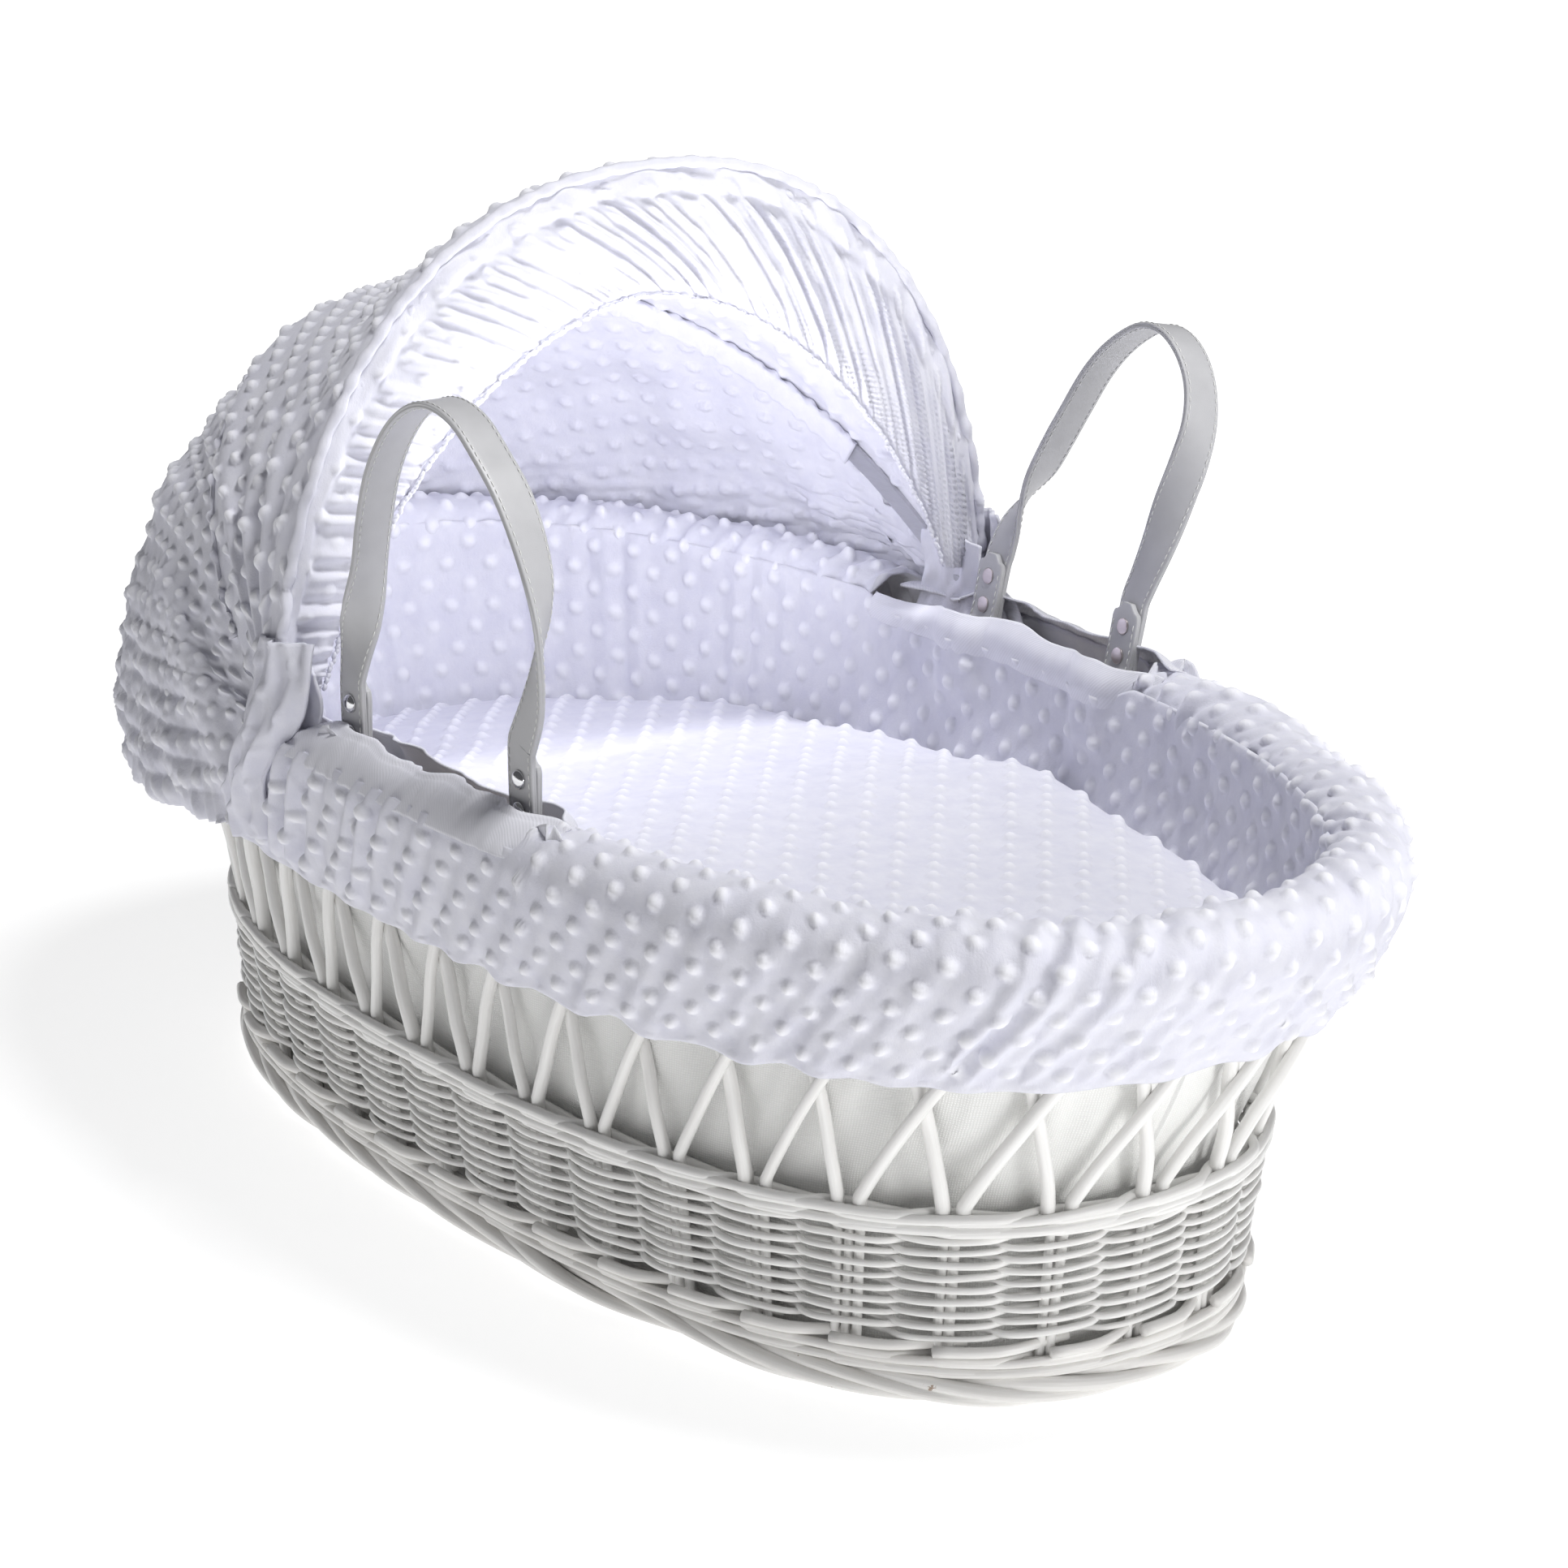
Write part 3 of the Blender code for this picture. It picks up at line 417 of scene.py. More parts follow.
def smooth_rows(controls, count, spread=None):
    """Smooth surface through matching control rows, resampled to count rows of even length."""
    dense = through(np.asarray(controls, float), 12)
    run = running(np.linalg.norm(np.diff(dense, axis=0), axis=-1).mean(1))
    share = np.linspace(0.0, 1.0, count) if spread is None else spread
    index = np.interp(share * run[-1], run, np.arange(len(run)))
    low = np.clip(index.astype(int), 0, len(run) - 2)
    part = (index - low)[:, None, None]
    return dense[low] * (1 - part) + dense[low + 1] * part


def smooth_line(points, count):
    return smooth_rows(np.asarray(points, float)[:, None, :], count)[:, 0]


def lengths(grid, axis):
    """Distance run along an axis of the grid, at each point."""
    step = np.linalg.norm(np.diff(grid, axis=axis), axis=-1)
    zero = np.zeros_like(np.take(step, [0], axis=axis))
    return np.concatenate([zero, np.cumsum(step, axis=axis)], axis=axis)


# ---------------------------------------------------------------- patterns

DIAMOND = ((0.0125, 0.012), (0.0125, -0.012))
DOT_HEIGHT = 0.003


def dots(u, v, radius=0.0044, height=DOT_HEIGHT, lattice=DIAMOND):
    """Height of raised dots that sit on a lattice of two step vectors."""
    basis = np.array(lattice).T
    back = np.linalg.inv(basis)
    a = back[0, 0] * u + back[0, 1] * v
    b = back[1, 0] * u + back[1, 1] * v
    fa, fb = a - np.round(a), b - np.round(b)
    du = basis[0, 0] * fa + basis[0, 1] * fb
    dv = basis[1, 0] * fa + basis[1, 1] * fb
    share = np.clip(1.0 - (du ** 2 + dv ** 2) / radius ** 2, 0.0, 1.0)
    return height * share ** 0.85


def ripple(u, v, long_u, long_v, count=9, seed=1):
    """Soft random folds of about the two wavelengths, from -1 to 1 or so."""
    draw = np.random.default_rng(seed)
    total = np.zeros(np.broadcast(u, v).shape)
    for _ in range(count):
        ku = TAU / long_u * draw.uniform(0.55, 1.5) * draw.choice([-1, 1])
        kv = TAU / long_v * draw.uniform(0.3, 1.4) * draw.choice([-1, 1])
        total += np.cos(ku * u + kv * v + draw.uniform(0, TAU))
    return total / math.sqrt(count)


def rings_ripple(turn, low, high, count, seed):
    """Random periodic waves round the basket; low and high are numbers of waves."""
    draw = np.random.default_rng(seed)
    total = np.zeros(np.shape(turn))
    for _ in range(count):
        total += np.cos(TAU * turn * draw.integers(low, high + 1) + draw.uniform(0, TAU))
    return total / math.sqrt(count)


def smoothstep(x, low, high):
    share = np.clip((x - low) / (high - low), 0.0, 1.0)
    return share * share * (3.0 - 2.0 * share)


def fade(x, low, high):
    """Falls from 1 at low to 0 at high."""
    return 1.0 - smoothstep(x, low, high)


def off_seam(turn, width):
    """0 at the seam where a ring of cloth closes, 1 beyond width of a turn from it."""
    return smoothstep(turn, 0.0, width) * fade(turn, 1.0 - width, 1.0)


def running(steps):
    """Distance run after each step, from 0."""
    return np.concatenate([[0.0], np.cumsum(steps)])


# ---------------------------------------------------------------- plan shapes

TURNS = 2400


def oval(a, b, power, centre_x=0.0, count=TURNS):
    angle = np.linspace(0.0, TAU, 8001)
    c, s = np.cos(angle), np.sin(angle)
    x = a * np.sign(c) * np.abs(c) ** (2.0 / power)
    y = b * np.sign(s) * np.abs(s) ** (2.0 / power)
    run = running(np.hypot(np.diff(x), np.diff(y)))
    at = np.linspace(0.0, run[-1], count, endpoint=False)
    return np.stack([centre_x + np.interp(at, run, x), np.interp(at, run, y)], axis=1)


def plan_at(a, b, z):
    """Oval of the basket at height z, where a is the reach at the foot end."""
    low = max(0.0, 1.0 - z / BAND_Z)
    trim = SHIFT * min(max((z - BAND_Z) / (0.205 - BAND_Z), 0.0), 1.0)
    power = BASE_POWER + (RIM_POWER - BASE_POWER) * min(z / BAND_Z, 1.0)
    return oval(a - trim, b, power, BASE_X * low + trim)


class Shell:
    """Points on a family of plan ovals: turn runs from 0 to 1, from +X round by +Y."""

    def __init__(self, levels):
        self.z = np.array([level[2] for level in levels])
        self.table = np.stack([plan_at(*level) for level in levels])

    def _look(self, index, turn):
        place = (np.asarray(turn) % 1.0) * TURNS
        k = place.astype(int) % TURNS
        part = (place - np.floor(place))[..., None]
        low = np.clip(np.floor(index).astype(int), 0, len(self.z) - 2)
        rise = (index - low)[..., None]
        here = self.table[low, k] * (1 - part) + self.table[low, (k + 1) % TURNS] * part
        above = self.table[low + 1, k] * (1 - part) + self.table[low + 1, (k + 1) % TURNS] * part
        return here * (1 - rise) + above * rise

    def at(self, turn, z, out=0.0):
        turn, z, out = np.broadcast_arrays(*(np.asarray(value, float) for value in (turn, z, out)))
        index = np.interp(z, self.z, np.arange(len(self.z)))
        here = self._look(index, turn)
        along = self._look(index, turn + 0.002) - self._look(index, turn - 0.002)
        along = unit(along)
        outward = np.stack([along[..., 1], -along[..., 0]], -1)
        flat = here + outward * out[..., None]
        return np.concatenate([flat, z[..., None]], -1)


def inset(size, amount, z):
    return (size[0] - amount, size[1] - amount, z)


WALL = Shell([inset(BASE, 0.004, 0.0), inset(BAND, 0.004, BAND_Z), (*RIM, 0.2057), (*RIM, 0.26)])


# ---------------------------------------------------------------- wicker

def weave_wall():
    """Randing: thin rods in front of one group of stakes and behind the next."""
    steps = CELLS * 14
    turn = np.arange(steps) / steps
    paths, radii = [], []
    rows = 17
    for row in range(rows):
        z = 0.0352 + 0.00318 * row
        beat = np.cos(math.pi * (turn * CELLS + row))
        swing = np.sign(beat) * np.abs(beat) ** 0.55
        sway = 0.00032 * rings_ripple(turn, 5, 40, 6, 100 + row)
        sway += 0.0006 * np.sin(math.pi * (turn * CELLS + row) + 0.4)
        jitter = 0.0004 * rings_ripple(turn, 8, 60, 5, 200 + row)
        paths.append(WALL.at(turn, z + sway, 0.0051 * swing + jitter))
        thick = 0.0016 * (1.0 + 0.1 * rings_ripple(turn, 3, 24, 4, 300 + row))
        radii.append(thick * (1.0 + 0.06 * rng.normal()))
    rods("wall_weavers", paths, radii, WICKER, closed=True, replaces=["woven_wall"])

    paths, radii = [], []
    for cell in range(CELLS):
        many = 3 if rng.random() < 0.45 else 2
        for n in range(many):
            side = (n - (many - 1) / 2) * 0.0053
            z = np.linspace(0.01, 0.097, 8)
            drift = rng.normal(0.0, 0.0004) + rng.normal(0.0, 0.0007) * (z - 0.05) / 0.05
            turn = cell / CELLS + (side + drift) / 1.72
            paths.append(WALL.at(turn, z, rng.normal(0.0, 0.0003)))
            radii.append(0.0023 * (1.0 + 0.08 * rng.normal()))
    rods("wall_stakes", paths, radii, WICKER)


def wale(name, heights, radius, reach, material, lift, replaces=()):
    """Rows of three rods that pass in front of two stakes and behind the third."""
    steps = CELLS * 10
    turn = np.arange(steps) / steps
    paths, radii = [], []
    for row, z in enumerate(heights):
        for strand in range(3):
            phase = (turn * CELLS - strand + 0.5) % 3.0
            front = smoothstep(phase, 0.0, 0.55) * fade(phase, 1.95, 2.5)
            out = -0.004 + (reach + 0.004) * front
            climb = np.where(phase < 2.2, -1.0 + 2.0 * phase / 2.2, 1.0 - 2.0 * (phase - 2.2) / 0.8)
            wander = 0.0003 * rings_ripple(turn, 4, 30, 5, 400 + row * 3 + strand)
            paths.append(WALL.at(turn, z + lift * climb + wander, out))
            thick = radius * (1.0 + 0.08 * rings_ripple(turn, 3, 14, 4, 500 + row * 3 + strand))
            radii.append(thick)
    return rods(name, paths, radii, material, closed=True, sides=9, replaces=replaces)


def border():
    """Rolled foot border of thick rods, the wale above it and the cut ends of the base rods."""
    steps = 900
    turn = np.arange(steps) / steps
    paths, radii = [], []
    for strand in range(4):
        angle = TAU * (7 * turn + strand / 4.0) + 0.5 * rings_ripple(turn, 2, 6, 3, 600 + strand)
        swell = 1.0 + 0.1 * rings_ripple(turn, 4, 16, 4, 610 + strand)
        z = 0.0086 + 0.0044 * np.sin(angle)
        out = 0.0022 - 0.0042 * np.cos(angle)
        radius = np.minimum(0.0037 * swell, z - 0.0002)
        paths.append(WALL.at(turn, z, out))
        radii.append(radius)
    rods("border_roll", paths, radii, BORDER, closed=True, sides=10, replaces=["base_border"])
    wale("border_wale", (0.0185, 0.0235), 0.0024, 0.0052, BORDER, 0.0011)

    paths, radii = [], []
    for cell in range(CELLS):
        low = (cell + rng.uniform(-0.12, 0.02)) / CELLS
        t = np.linspace(0.0, 1.0, 10)
        turn = low + t * rng.uniform(1.05, 1.35) / CELLS
        out = 0.0072 - 0.0105 * smoothstep(t, 0.35, 1.0)
        z = 0.0295 + rng.normal(0.0, 0.0007) + 0.0016 * t
        paths.append(WALL.at(turn, z, out))
        radii.append(rng.uniform(0.0026, 0.0034) * (1.0 - 0.15 * t))
    rods("base_rod_ends", paths, radii, BORDER, sides=10)


def lattice():
    """Leaning rods that cross under the skirt, one passing outside the other."""
    paths, radii = [], []
    t = np.linspace(0.0, 1.0, 14)
    z = 0.093 + (0.2215 - 0.093) * t
    share = np.clip((z - BAND_Z) / (0.2057 - BAND_Z), 0.0, 1.0)
    for cell in range(CELLS):
        for lean in (-1, 1):
            foot = lean * (0.105 + rng.normal(0.0, 0.015))
            head = lean * (0.93 + rng.normal(0.0, 0.02))
            shift = foot + (head - foot) * share ** 1.1
            bow = 0.018 * math.sin(rng.uniform(0.0, TAU)) * np.sin(math.pi * share)
            near_top = smoothstep(share, 0.15, 0.5)
            out = lean * 0.0031 * near_top + 0.0008 * (1.0 - near_top)
            paths.append(WALL.at((cell + shift + bow) / CELLS, z, out))
            radii.append(0.00315 * (1.0 + 0.06 * rng.normal()) * (1.06 - 0.1 * t))
    rods("lattice_rods", paths, radii, WICKER, sides=10, replaces=["lattice"])


def rim():
    """The rim under the dressing: three rods laid round each other."""
    steps = 960
    turn = np.arange(steps) / steps
    paths, radii = [], []
    for strand in range(3):
        angle = TAU * (22 * turn + strand / 3.0)
        paths.append(WALL.at(turn, RIM_Z + 0.0043 * np.sin(angle), 0.0043 * np.cos(angle)))
        radii.append(0.0045 * (1.0 + 0.04 * rings_ripple(turn, 4, 16, 4, 700 + strand)))
    rods("rim_rods", paths, radii, RIM_WOOD, closed=True, sides=9, replaces=["rim_border"])


def base():
    """Underside: oval rings of thin rods over and under the base rods."""
    plan = plan_at(*inset(BASE, 0.0135, 0.0))
    centre = np.array([BASE_X, 0.0])

    def spot(turn, share, z):
        place = (turn % 1.0) * TURNS
        k = place.astype(int) % TURNS
        edge = plan[k] - centre
        spine = np.stack([edge[:, 0] * 0.62, edge[:, 1] * 0.0], -1)
        flat = centre + spine * (1 - share) + edge * share
        return np.concatenate([flat, np.broadcast_to(z, (len(turn), 1))], -1)

    paths, radii = [], []
    steps = CELLS * 6
    turn = np.arange(steps) / steps
    rings = 25
    for ring in range(rings):
        share = 0.04 + 0.95 * ring / (rings - 1)
        z = 0.0047 + 0.0016 * np.cos(math.pi * (turn * CELLS + ring))[:, None]
        paths.append(spot(turn, share, z))
        radii.append(0.0024)
    rods("base_rings", paths, radii, WICKER, closed=True, sides=6, replaces=["base_plate"])
    paths, radii = [], []
    for cell in range(CELLS):
        turn = np.full(6, cell / CELLS)
        share = np.linspace(0.02, 0.99, 6)[:, None]
        paths.append(spot(turn, share, np.full((6, 1), 0.0047)))
        radii.append(0.0022)
    rods("base_rods", paths, radii, WICKER, sides=6)


# ---------------------------------------------------------------- dressing

def body_rows(path, columns):
    """Rings of a dressing path, each a (columns, 3) row."""
    rows = []
    pick = (np.arange(columns) * TURNS / columns).astype(int)
    for a, b, z in path:
        ring = plan_at(a, b, z)[pick]
        rows.append(np.concatenate([ring, np.full((columns, 1), z)], 1))
    return np.array(rows)


def opening_share(x, y, soft=0.016):
    """1 inside the two handle openings, falling to 0 over a soft corner."""
    share = np.zeros_like(x)
    for side, (start, end) in OPENINGS.items():
        inside = smoothstep(x, start - soft, start + soft * 0.4)
        inside = inside * fade(x, end - soft * 0.4, end + soft)
        share = np.maximum(share, inside * (y * side > 0.12))
    return share


def pulled_down(grid, z_edge):
    """Shortens each column of a sheet so that its free edge dips to z_edge in the openings."""
    rows = grid.shape[0]
    z = grid[..., 2]
    columns = np.arange(grid.shape[1])
    rise = np.argmax(z[:, 0] >= z_edge)
    top = grid[rows - 1]
    dip = opening_share(top[:, 0], top[:, 1])
    last = (rows - 1) + (rise - (rows - 1)) * dip
    made = np.empty_like(grid)
    for i in range(rows):
        place = last * i / (rows - 1)
        low = np.clip(place.astype(int), 0, rows - 2)
        part = (place - low)[:, None]
        made[i] = grid[low, columns] * (1 - part) + grid[low + 1, columns] * part
    return made


def clear_of_straps(base):
    """Press a cloth inside the rim a little further in where a strap loops round the rim."""
    x, y, z = base[..., 0], base[..., 1], base[..., 2]
    press = np.zeros_like(x)
    for side, feet in ((-1, (-0.0295, 0.115)), (1, (-0.0335, 0.0785))):
        for foot in feet:
            press += np.exp(-((x - foot) / 0.017) ** 4) * (y * side > 0.1)
    base[..., 1] -= np.sign(y) * 0.0058 * press * smoothstep(z, 0.196, 0.214)


def skirt():
    path = [(.3885, .204, .1735), (.3985, .2082, .189), (.409, .2115, .206), (.418, .2138, .222),
            (.4205, .2142, .237), (.415, .2085, .2478), (.404, .1975, .2525), (.3945, .188, .252),
            (.3868, .1795, .2475), (.385, .177, .241), (.3858, .1785, .233)]
    columns, rows = 1290, 94
    base = pulled_down(smooth_rows(body_rows(path, columns), rows), EDGE_Z)
    turn = np.broadcast_to(np.arange(columns) / columns, base.shape[:2])
    u, v = turn * 2.125, lengths(base, 0)
    x, y = base[..., 0], base[..., 1]
    gather = np.exp(-((x + 0.16) / 0.1) ** 2) + 0.8 * np.exp(-((x - 0.1) / 0.07) ** 2) * (y > 0) + 0.35
    gather += 1.3 * np.exp(-((x + 0.02) / 0.1) ** 2) * (y < 0)
    gather += 0.8 * np.exp(-((x - 0.36) / 0.05) ** 2) * (np.abs(y) < 0.12)
    folds = ripple(u - 0.5 * v, v, 0.021, 0.4, 9, 21) * gather * 0.0014
    billow = 0.0012 * ripple(u, v, 0.13, 0.16, 7, 22)
    low_edge = fade(v, 0.0, 0.03)
    scallop = low_edge * 0.0012 * rings_ripple(turn, 38, 74, 5, 23)
    lift = (folds + billow) * smoothstep(v, 0.0, 0.012) + scallop
    seam = off_seam(turn, 0.01)
    base = base + normals_of(base, True) * (lift * seam)[..., None]
    base[..., 2] += low_edge * 0.001 * rings_ripple(turn, 30, 60, 5, 25)
    normal = normals_of(base, True)
    raised = dots(u, v) * smoothstep(v, 0.0, 0.006)
    raised *= 1.0 - opening_share(x, y) * smoothstep(v, v[-1:] - 0.011, v[-1:] - 0.004)
    cloth("skirt_plush", base, base + normal * raised[..., None], base - normal * 0.0022, "gathered",
          wrap=True, step=3, replaces=["plush_skirt", "skirt_elastic"], raised=raised)


def lining():
    path = [(.3235, .1375, .0125), (.325, .1555, .101), (.3485, .1625, .15), (.3765, .173, .198),
            (.3824, .1742, .215), (.3828, .1745, .238), (.3845, .1764, .244)]
    columns = 1125
    spread = np.concatenate([np.linspace(0.0, 0.42, 8, endpoint=False), np.linspace(0.42, 1.0, 84)])
    base = pulled_down(smooth_rows(body_rows(path, columns), len(spread), spread), INNER_EDGE_Z)
    turn = np.broadcast_to(np.arange(columns) / columns, base.shape[:2])
    u, v = turn * 1.875, lengths(base, 0)
    x = base[..., 0]
    gather = 0.35 + 0.7 * smoothstep(-x, 0.05, 0.3) + 0.9 * np.exp(-((x - 0.34) / 0.06) ** 2)
    ridge = ripple(u, v * 0.4, 0.026, 0.5, 8, 31)
    lift = -0.0009 * gather * np.abs(ridge) ** 1.3 * np.sign(ridge) - 0.0012 * ripple(u, v, 0.15, 0.2, 6, 32)
    lift = lift * smoothstep(v, 0.09, 0.15) * (1 - 0.5 * smoothstep(v, 0.215, 0.235))
    seam = off_seam(turn, 0.012)
    lift = lift * seam - 0.0018 * smoothstep(v, 0.11, 0.17) * fade(v, 0.19, 0.225)
    base = base + normals_of(base, True) * lift[..., None]
    clear_of_straps(base)
    normal = normals_of(base, True)
    raised = dots(u, v, 0.0044, 0.0026) * smoothstep(v, 0.1, 0.12)
    cloth("lining_plush", base, base - normal * raised[..., None], base + normal * 0.0018, "gathered",
          wrap=True, flip=True, replaces=["plush_lining"], raised=raised)


def liner():
    path = [(.3302, .1444, .01), (.3318, .156, .06), (.333, .1637, .101), (.358, .172, .148),
            (.38, .1785, .195), (.384, .1788, .203)]
    base = smooth_rows(body_rows(path, 720), 46)
    turn = np.broadcast_to(np.arange(720) / 720, base.shape[:2])
    u, v = turn * 1.95, lengths(base, 0)
    loose = smoothstep(v, 0.075, 0.12) * (1.0 - 0.6 * smoothstep(v, 0.19, 0.21))
    fold = ripple(u + 0.5 * v, v, 0.085, 0.6, 7, 41)
    crease = -np.abs(ripple(u - 0.35 * v, v, 0.14, 0.8, 5, 42)) ** 0.6
    lift = loose * (0.0016 * fold + 0.0036 * crease + 0.0008 * ripple(u, v, 0.03, 0.09, 7, 43) + 0.0012)
    seam = off_seam(turn, 0.02)
    outer = base + normals_of(base, True) * (np.clip(lift, -0.0062, 0.0016) * seam)[..., None]
    inner = outer - normals_of(outer, True) * 0.0006
    cloth("liner_cotton", base, outer, inner, "hung", COTTON, wrap=True,
          replaces=["cotton_liner"])


def edge_strip(name, side, levels, wave, seed, dip, replaces):
    """Cotton binding along one handle opening, gathered a little, its free edge dipping near the hood."""
    start, end = OPENINGS[side]
    columns = 181
    x = np.linspace(start - 0.006, end + 0.024, columns)
    rows = []
    for a, b, z in levels:
        ring = plan_at(a, b, z)
        half = ring[ring[:, 1] * side > 0]
        half = half[np.argsort(half[:, 0])]
        y = np.interp(x, half[:, 0], half[:, 1])
        rows.append(np.stack([x, y, np.full(columns, z)], 1))
    base = smooth_rows(rows, 19)
    u, v = lengths(base, 1), lengths(base, 0)
    free = v / v.max()
    outward = np.zeros_like(base)
    outward[..., 1] = side
    lift = wave * free * ripple(u, v, 0.05, 0.1, 8, seed)
    lift = lift + 0.25 * wave * ripple(u, v, 0.014, 0.05, 8, seed + 1)
    inside = side * base[0, columns // 2, 1] < RIM[1]
    hidden = smoothstep(x, end - 0.004, end + 0.016) * (0.007 if inside else -0.003)
    lift = lift + hidden
    base = base + outward * lift[..., None]
    base[..., 2] += free * 0.0012 * ripple(u, 0 * v, 0.09, 1.0, 6, seed + 2)
    base[..., 2] -= free * dip * fade(x, start + 0.03, start + 0.066)
    if inside:
        clear_of_straps(base)
    normal = normals_of(base, False)
    normal = normal * np.sign(normal[..., 1:2] * side)
    full = v.max()
    stitched = np.exp(-((v - 0.84 * full) / 0.0006) ** 2)
    hem = 0.0005 * smoothstep(v, full * 0.86, full * 0.9) - 0.0007 * stitched
    outer, inner = base + normal * (0.0004 + hem[..., None]), base - normal * 0.0004
    cloth(name, base, outer, inner, "gathered", TAPE, flip=side > 0, replaces=replaces)


def ribbon(name, points, width, replaces=(), turn=0.0):
    """A flat tape along a smooth path, its width first along the rim and then turned by an angle."""
    path = smooth_line(points, 49)
    tangent = unit(np.gradient(path, axis=0))
    across = np.tile([1.0, 0.0, 0.0], (49, 1))
    across = unit(across - tangent * (across * tangent).sum(1, keepdims=True))
    normal = np.cross(across, tangent)
    angle = turn * np.linspace(0, 1, 49)[:, None]
    c, s = np.cos(angle), np.sin(angle)
    across, normal = across * c + normal * s, normal * c - across * s
    grid = path[:, None] + across[:, None] * (np.linspace(-0.5, 0.5, 7) * width)[None, :, None]
    half = normal[:, None] * 0.0003
    piece = cloth(name, grid, grid - half, grid + half, None, TAPE, replaces=replaces)


def side_y(half_width, x):
    reach = abs(x - SHIFT) / (RIM[0] - SHIFT)
    return half_width * (1.0 - reach ** RIM_POWER) ** (1.0 / RIM_POWER)


def ties():
    """Tape loops over the rim beside each strap foot."""
    spots = {("near", "head"): (-1, -0.0095), ("near", "foot"): (-1, 0.134),
             ("far", "head"): (1, -0.0135), ("far", "foot"): (1, 0.0975)}
    for (label, end), (side, x) in spots.items():
        y = side_y(RIM[1], x)
        loop = [(0.015, -0.004), (0.0142, 0.006), (0.007, 0.0125), (-0.003, 0.0125),
                (-0.01, 0.006), (-0.011, -0.006)]
        points = [(x, side * (y + out), RIM_Z + up) for out, up in loop]
        ribbon("tie_band_" + label + "_" + end, points, 0.01, replaces=["tie_" + label + "_" + end])
        bow = [(0.0, 0.01, 0.012), (0.01, 0.013, 0.022), (0.022, 0.014, 0.026), (0.027, 0.013, 0.017),
               (0.017, 0.012, 0.009), (0.002, 0.012, 0.01), (-0.01, 0.015, 0.004), (-0.016, 0.021, -0.01)]
        direction = 1 if end == "foot" else -1
        points = [(x + direction * dx, side * (y + out), RIM_Z + up) for dx, out, up in bow]
        ribbon("tie_bow_" + label + "_" + end, points, 0.01, turn=0.9)


# ---------------------------------------------------------------- bedding

COVER_STEPS = ((0.0102, 0.0142), (-0.0119, 0.0093))


def coverlet():
    a, b, power = 0.344, 0.164, 2.45
    columns, rows = 433, 217
    s = np.linspace(-1.0, 1.0, columns)
    x = a * 0.9998 * (0.65 * s + 0.35 * np.sin(s * math.pi / 2))
    half = b * (1.0 - np.abs(x / a) ** power) ** (1.0 / power)
    t = np.linspace(-1.0, 1.0, rows)
    y = (0.65 * t + 0.35 * np.sin(t * math.pi / 2))[:, None] * half[None, :]
    x = np.broadcast_to(x, y.shape)
    reach = (np.abs(x / a) ** power + np.abs(y / b) ** power) ** (1.0 / power)
    z = 0.168 + 0.031 * np.sqrt(np.clip(1.0 - reach ** 9, 0.0, 1.0))
    z = z - 0.04 * np.clip((0.05 - x) / 0.38, 0.0, 1.0) * (z - 0.0728) / 0.1262
    z = z + 0.0016 * ripple(x, y, 0.16, 0.14, 7, 51)
    base = np.stack([x + SHIFT, y, z], -1)
    up = normals_of(base, False)
    up = up * np.sign(up[..., 2:3] + 1e-9)
    raised = dots(x, y, 0.0037, 0.0027, COVER_STEPS)
    below = base - [0.0, 0.0, 0.017]
    below[..., 0] = (below[..., 0] - SHIFT) * 0.965 + SHIFT
    below[..., 1] *= 0.955
    piece = cloth("coverlet_plush", base, base + up * raised[..., None], below, None, body="coverlet",
                  step=3, replaces=["coverlet"], raised=raised)


def mattress():
    low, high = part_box("mattress")
    bottom, top = low[2], high[2]
    levels = []
    for turn in np.linspace(-math.pi / 2, math.pi / 2, 13):
        round_out = 0.01 * (math.cos(turn) - 1.0)
        z = (bottom + top) / 2 + ((top - bottom) / 2 - 0.01) * np.sign(turn) + 0.01 * math.sin(turn)
        levels.append((0.3215 + round_out, 0.1395 + round_out, z))
    sides = body_rows(levels, 160)
    centre = BASE_X * 0.3
    rings = [sides]
    for share in (0.9, 0.6, 0.3, 0.04):
        inwards = np.array([centre * (1 - share), 0.0, 0.0])
        over, under = (edge * [share, share, 1.0] + inwards for edge in (sides[-1:], sides[:1]))
        over[..., 2] += 0.001 * (1 - share)
        rings = [under] + rings + [over]
    grid = np.concatenate(rings)
    faces = tube_faces(*grid.shape[:2])
    piece = mesh_piece("mattress_pad", grid.reshape(-1, 3), faces, COTTON, "mattress",
                       replaces=["mattress"])


# ---------------------------------------------------------------- hood

def arch(half_width, top, count, foot_z, power=2.25, base_z=0.231):
    """(count, 2) points (y, z) of an upright arch from the near foot to the far foot."""
    angle = np.linspace(0.0, math.pi, 8001)
    y = -half_width * np.sign(np.cos(angle)) * np.abs(np.cos(angle)) ** (2.0 / power)
    z = base_z + (top - base_z) * np.abs(np.sin(angle)) ** (2.0 / power)
    keep = z >= foot_z
    y, z = y[keep], z[keep]
    run = running(np.hypot(np.diff(y), np.diff(z)))
    at = np.linspace(0.0, run[-1], count)
    return np.stack([np.interp(at, run, y), np.interp(at, run, z)], 1)


def upright(points, x):
    return np.concatenate([np.full((len(points), 1), x), points], 1)


def lean_back(points, angle):
    """Turn points about the hood's pivot axis, backwards for a positive angle."""
    dx, dz = points[:, 0] - PIVOT.x, points[:, 2] - PIVOT.z
    c, s = math.cos(angle), math.sin(angle)
    return np.stack([PIVOT.x + dx * c - dz * s, points[:, 1], PIVOT.z + dx * s + dz * c], 1)


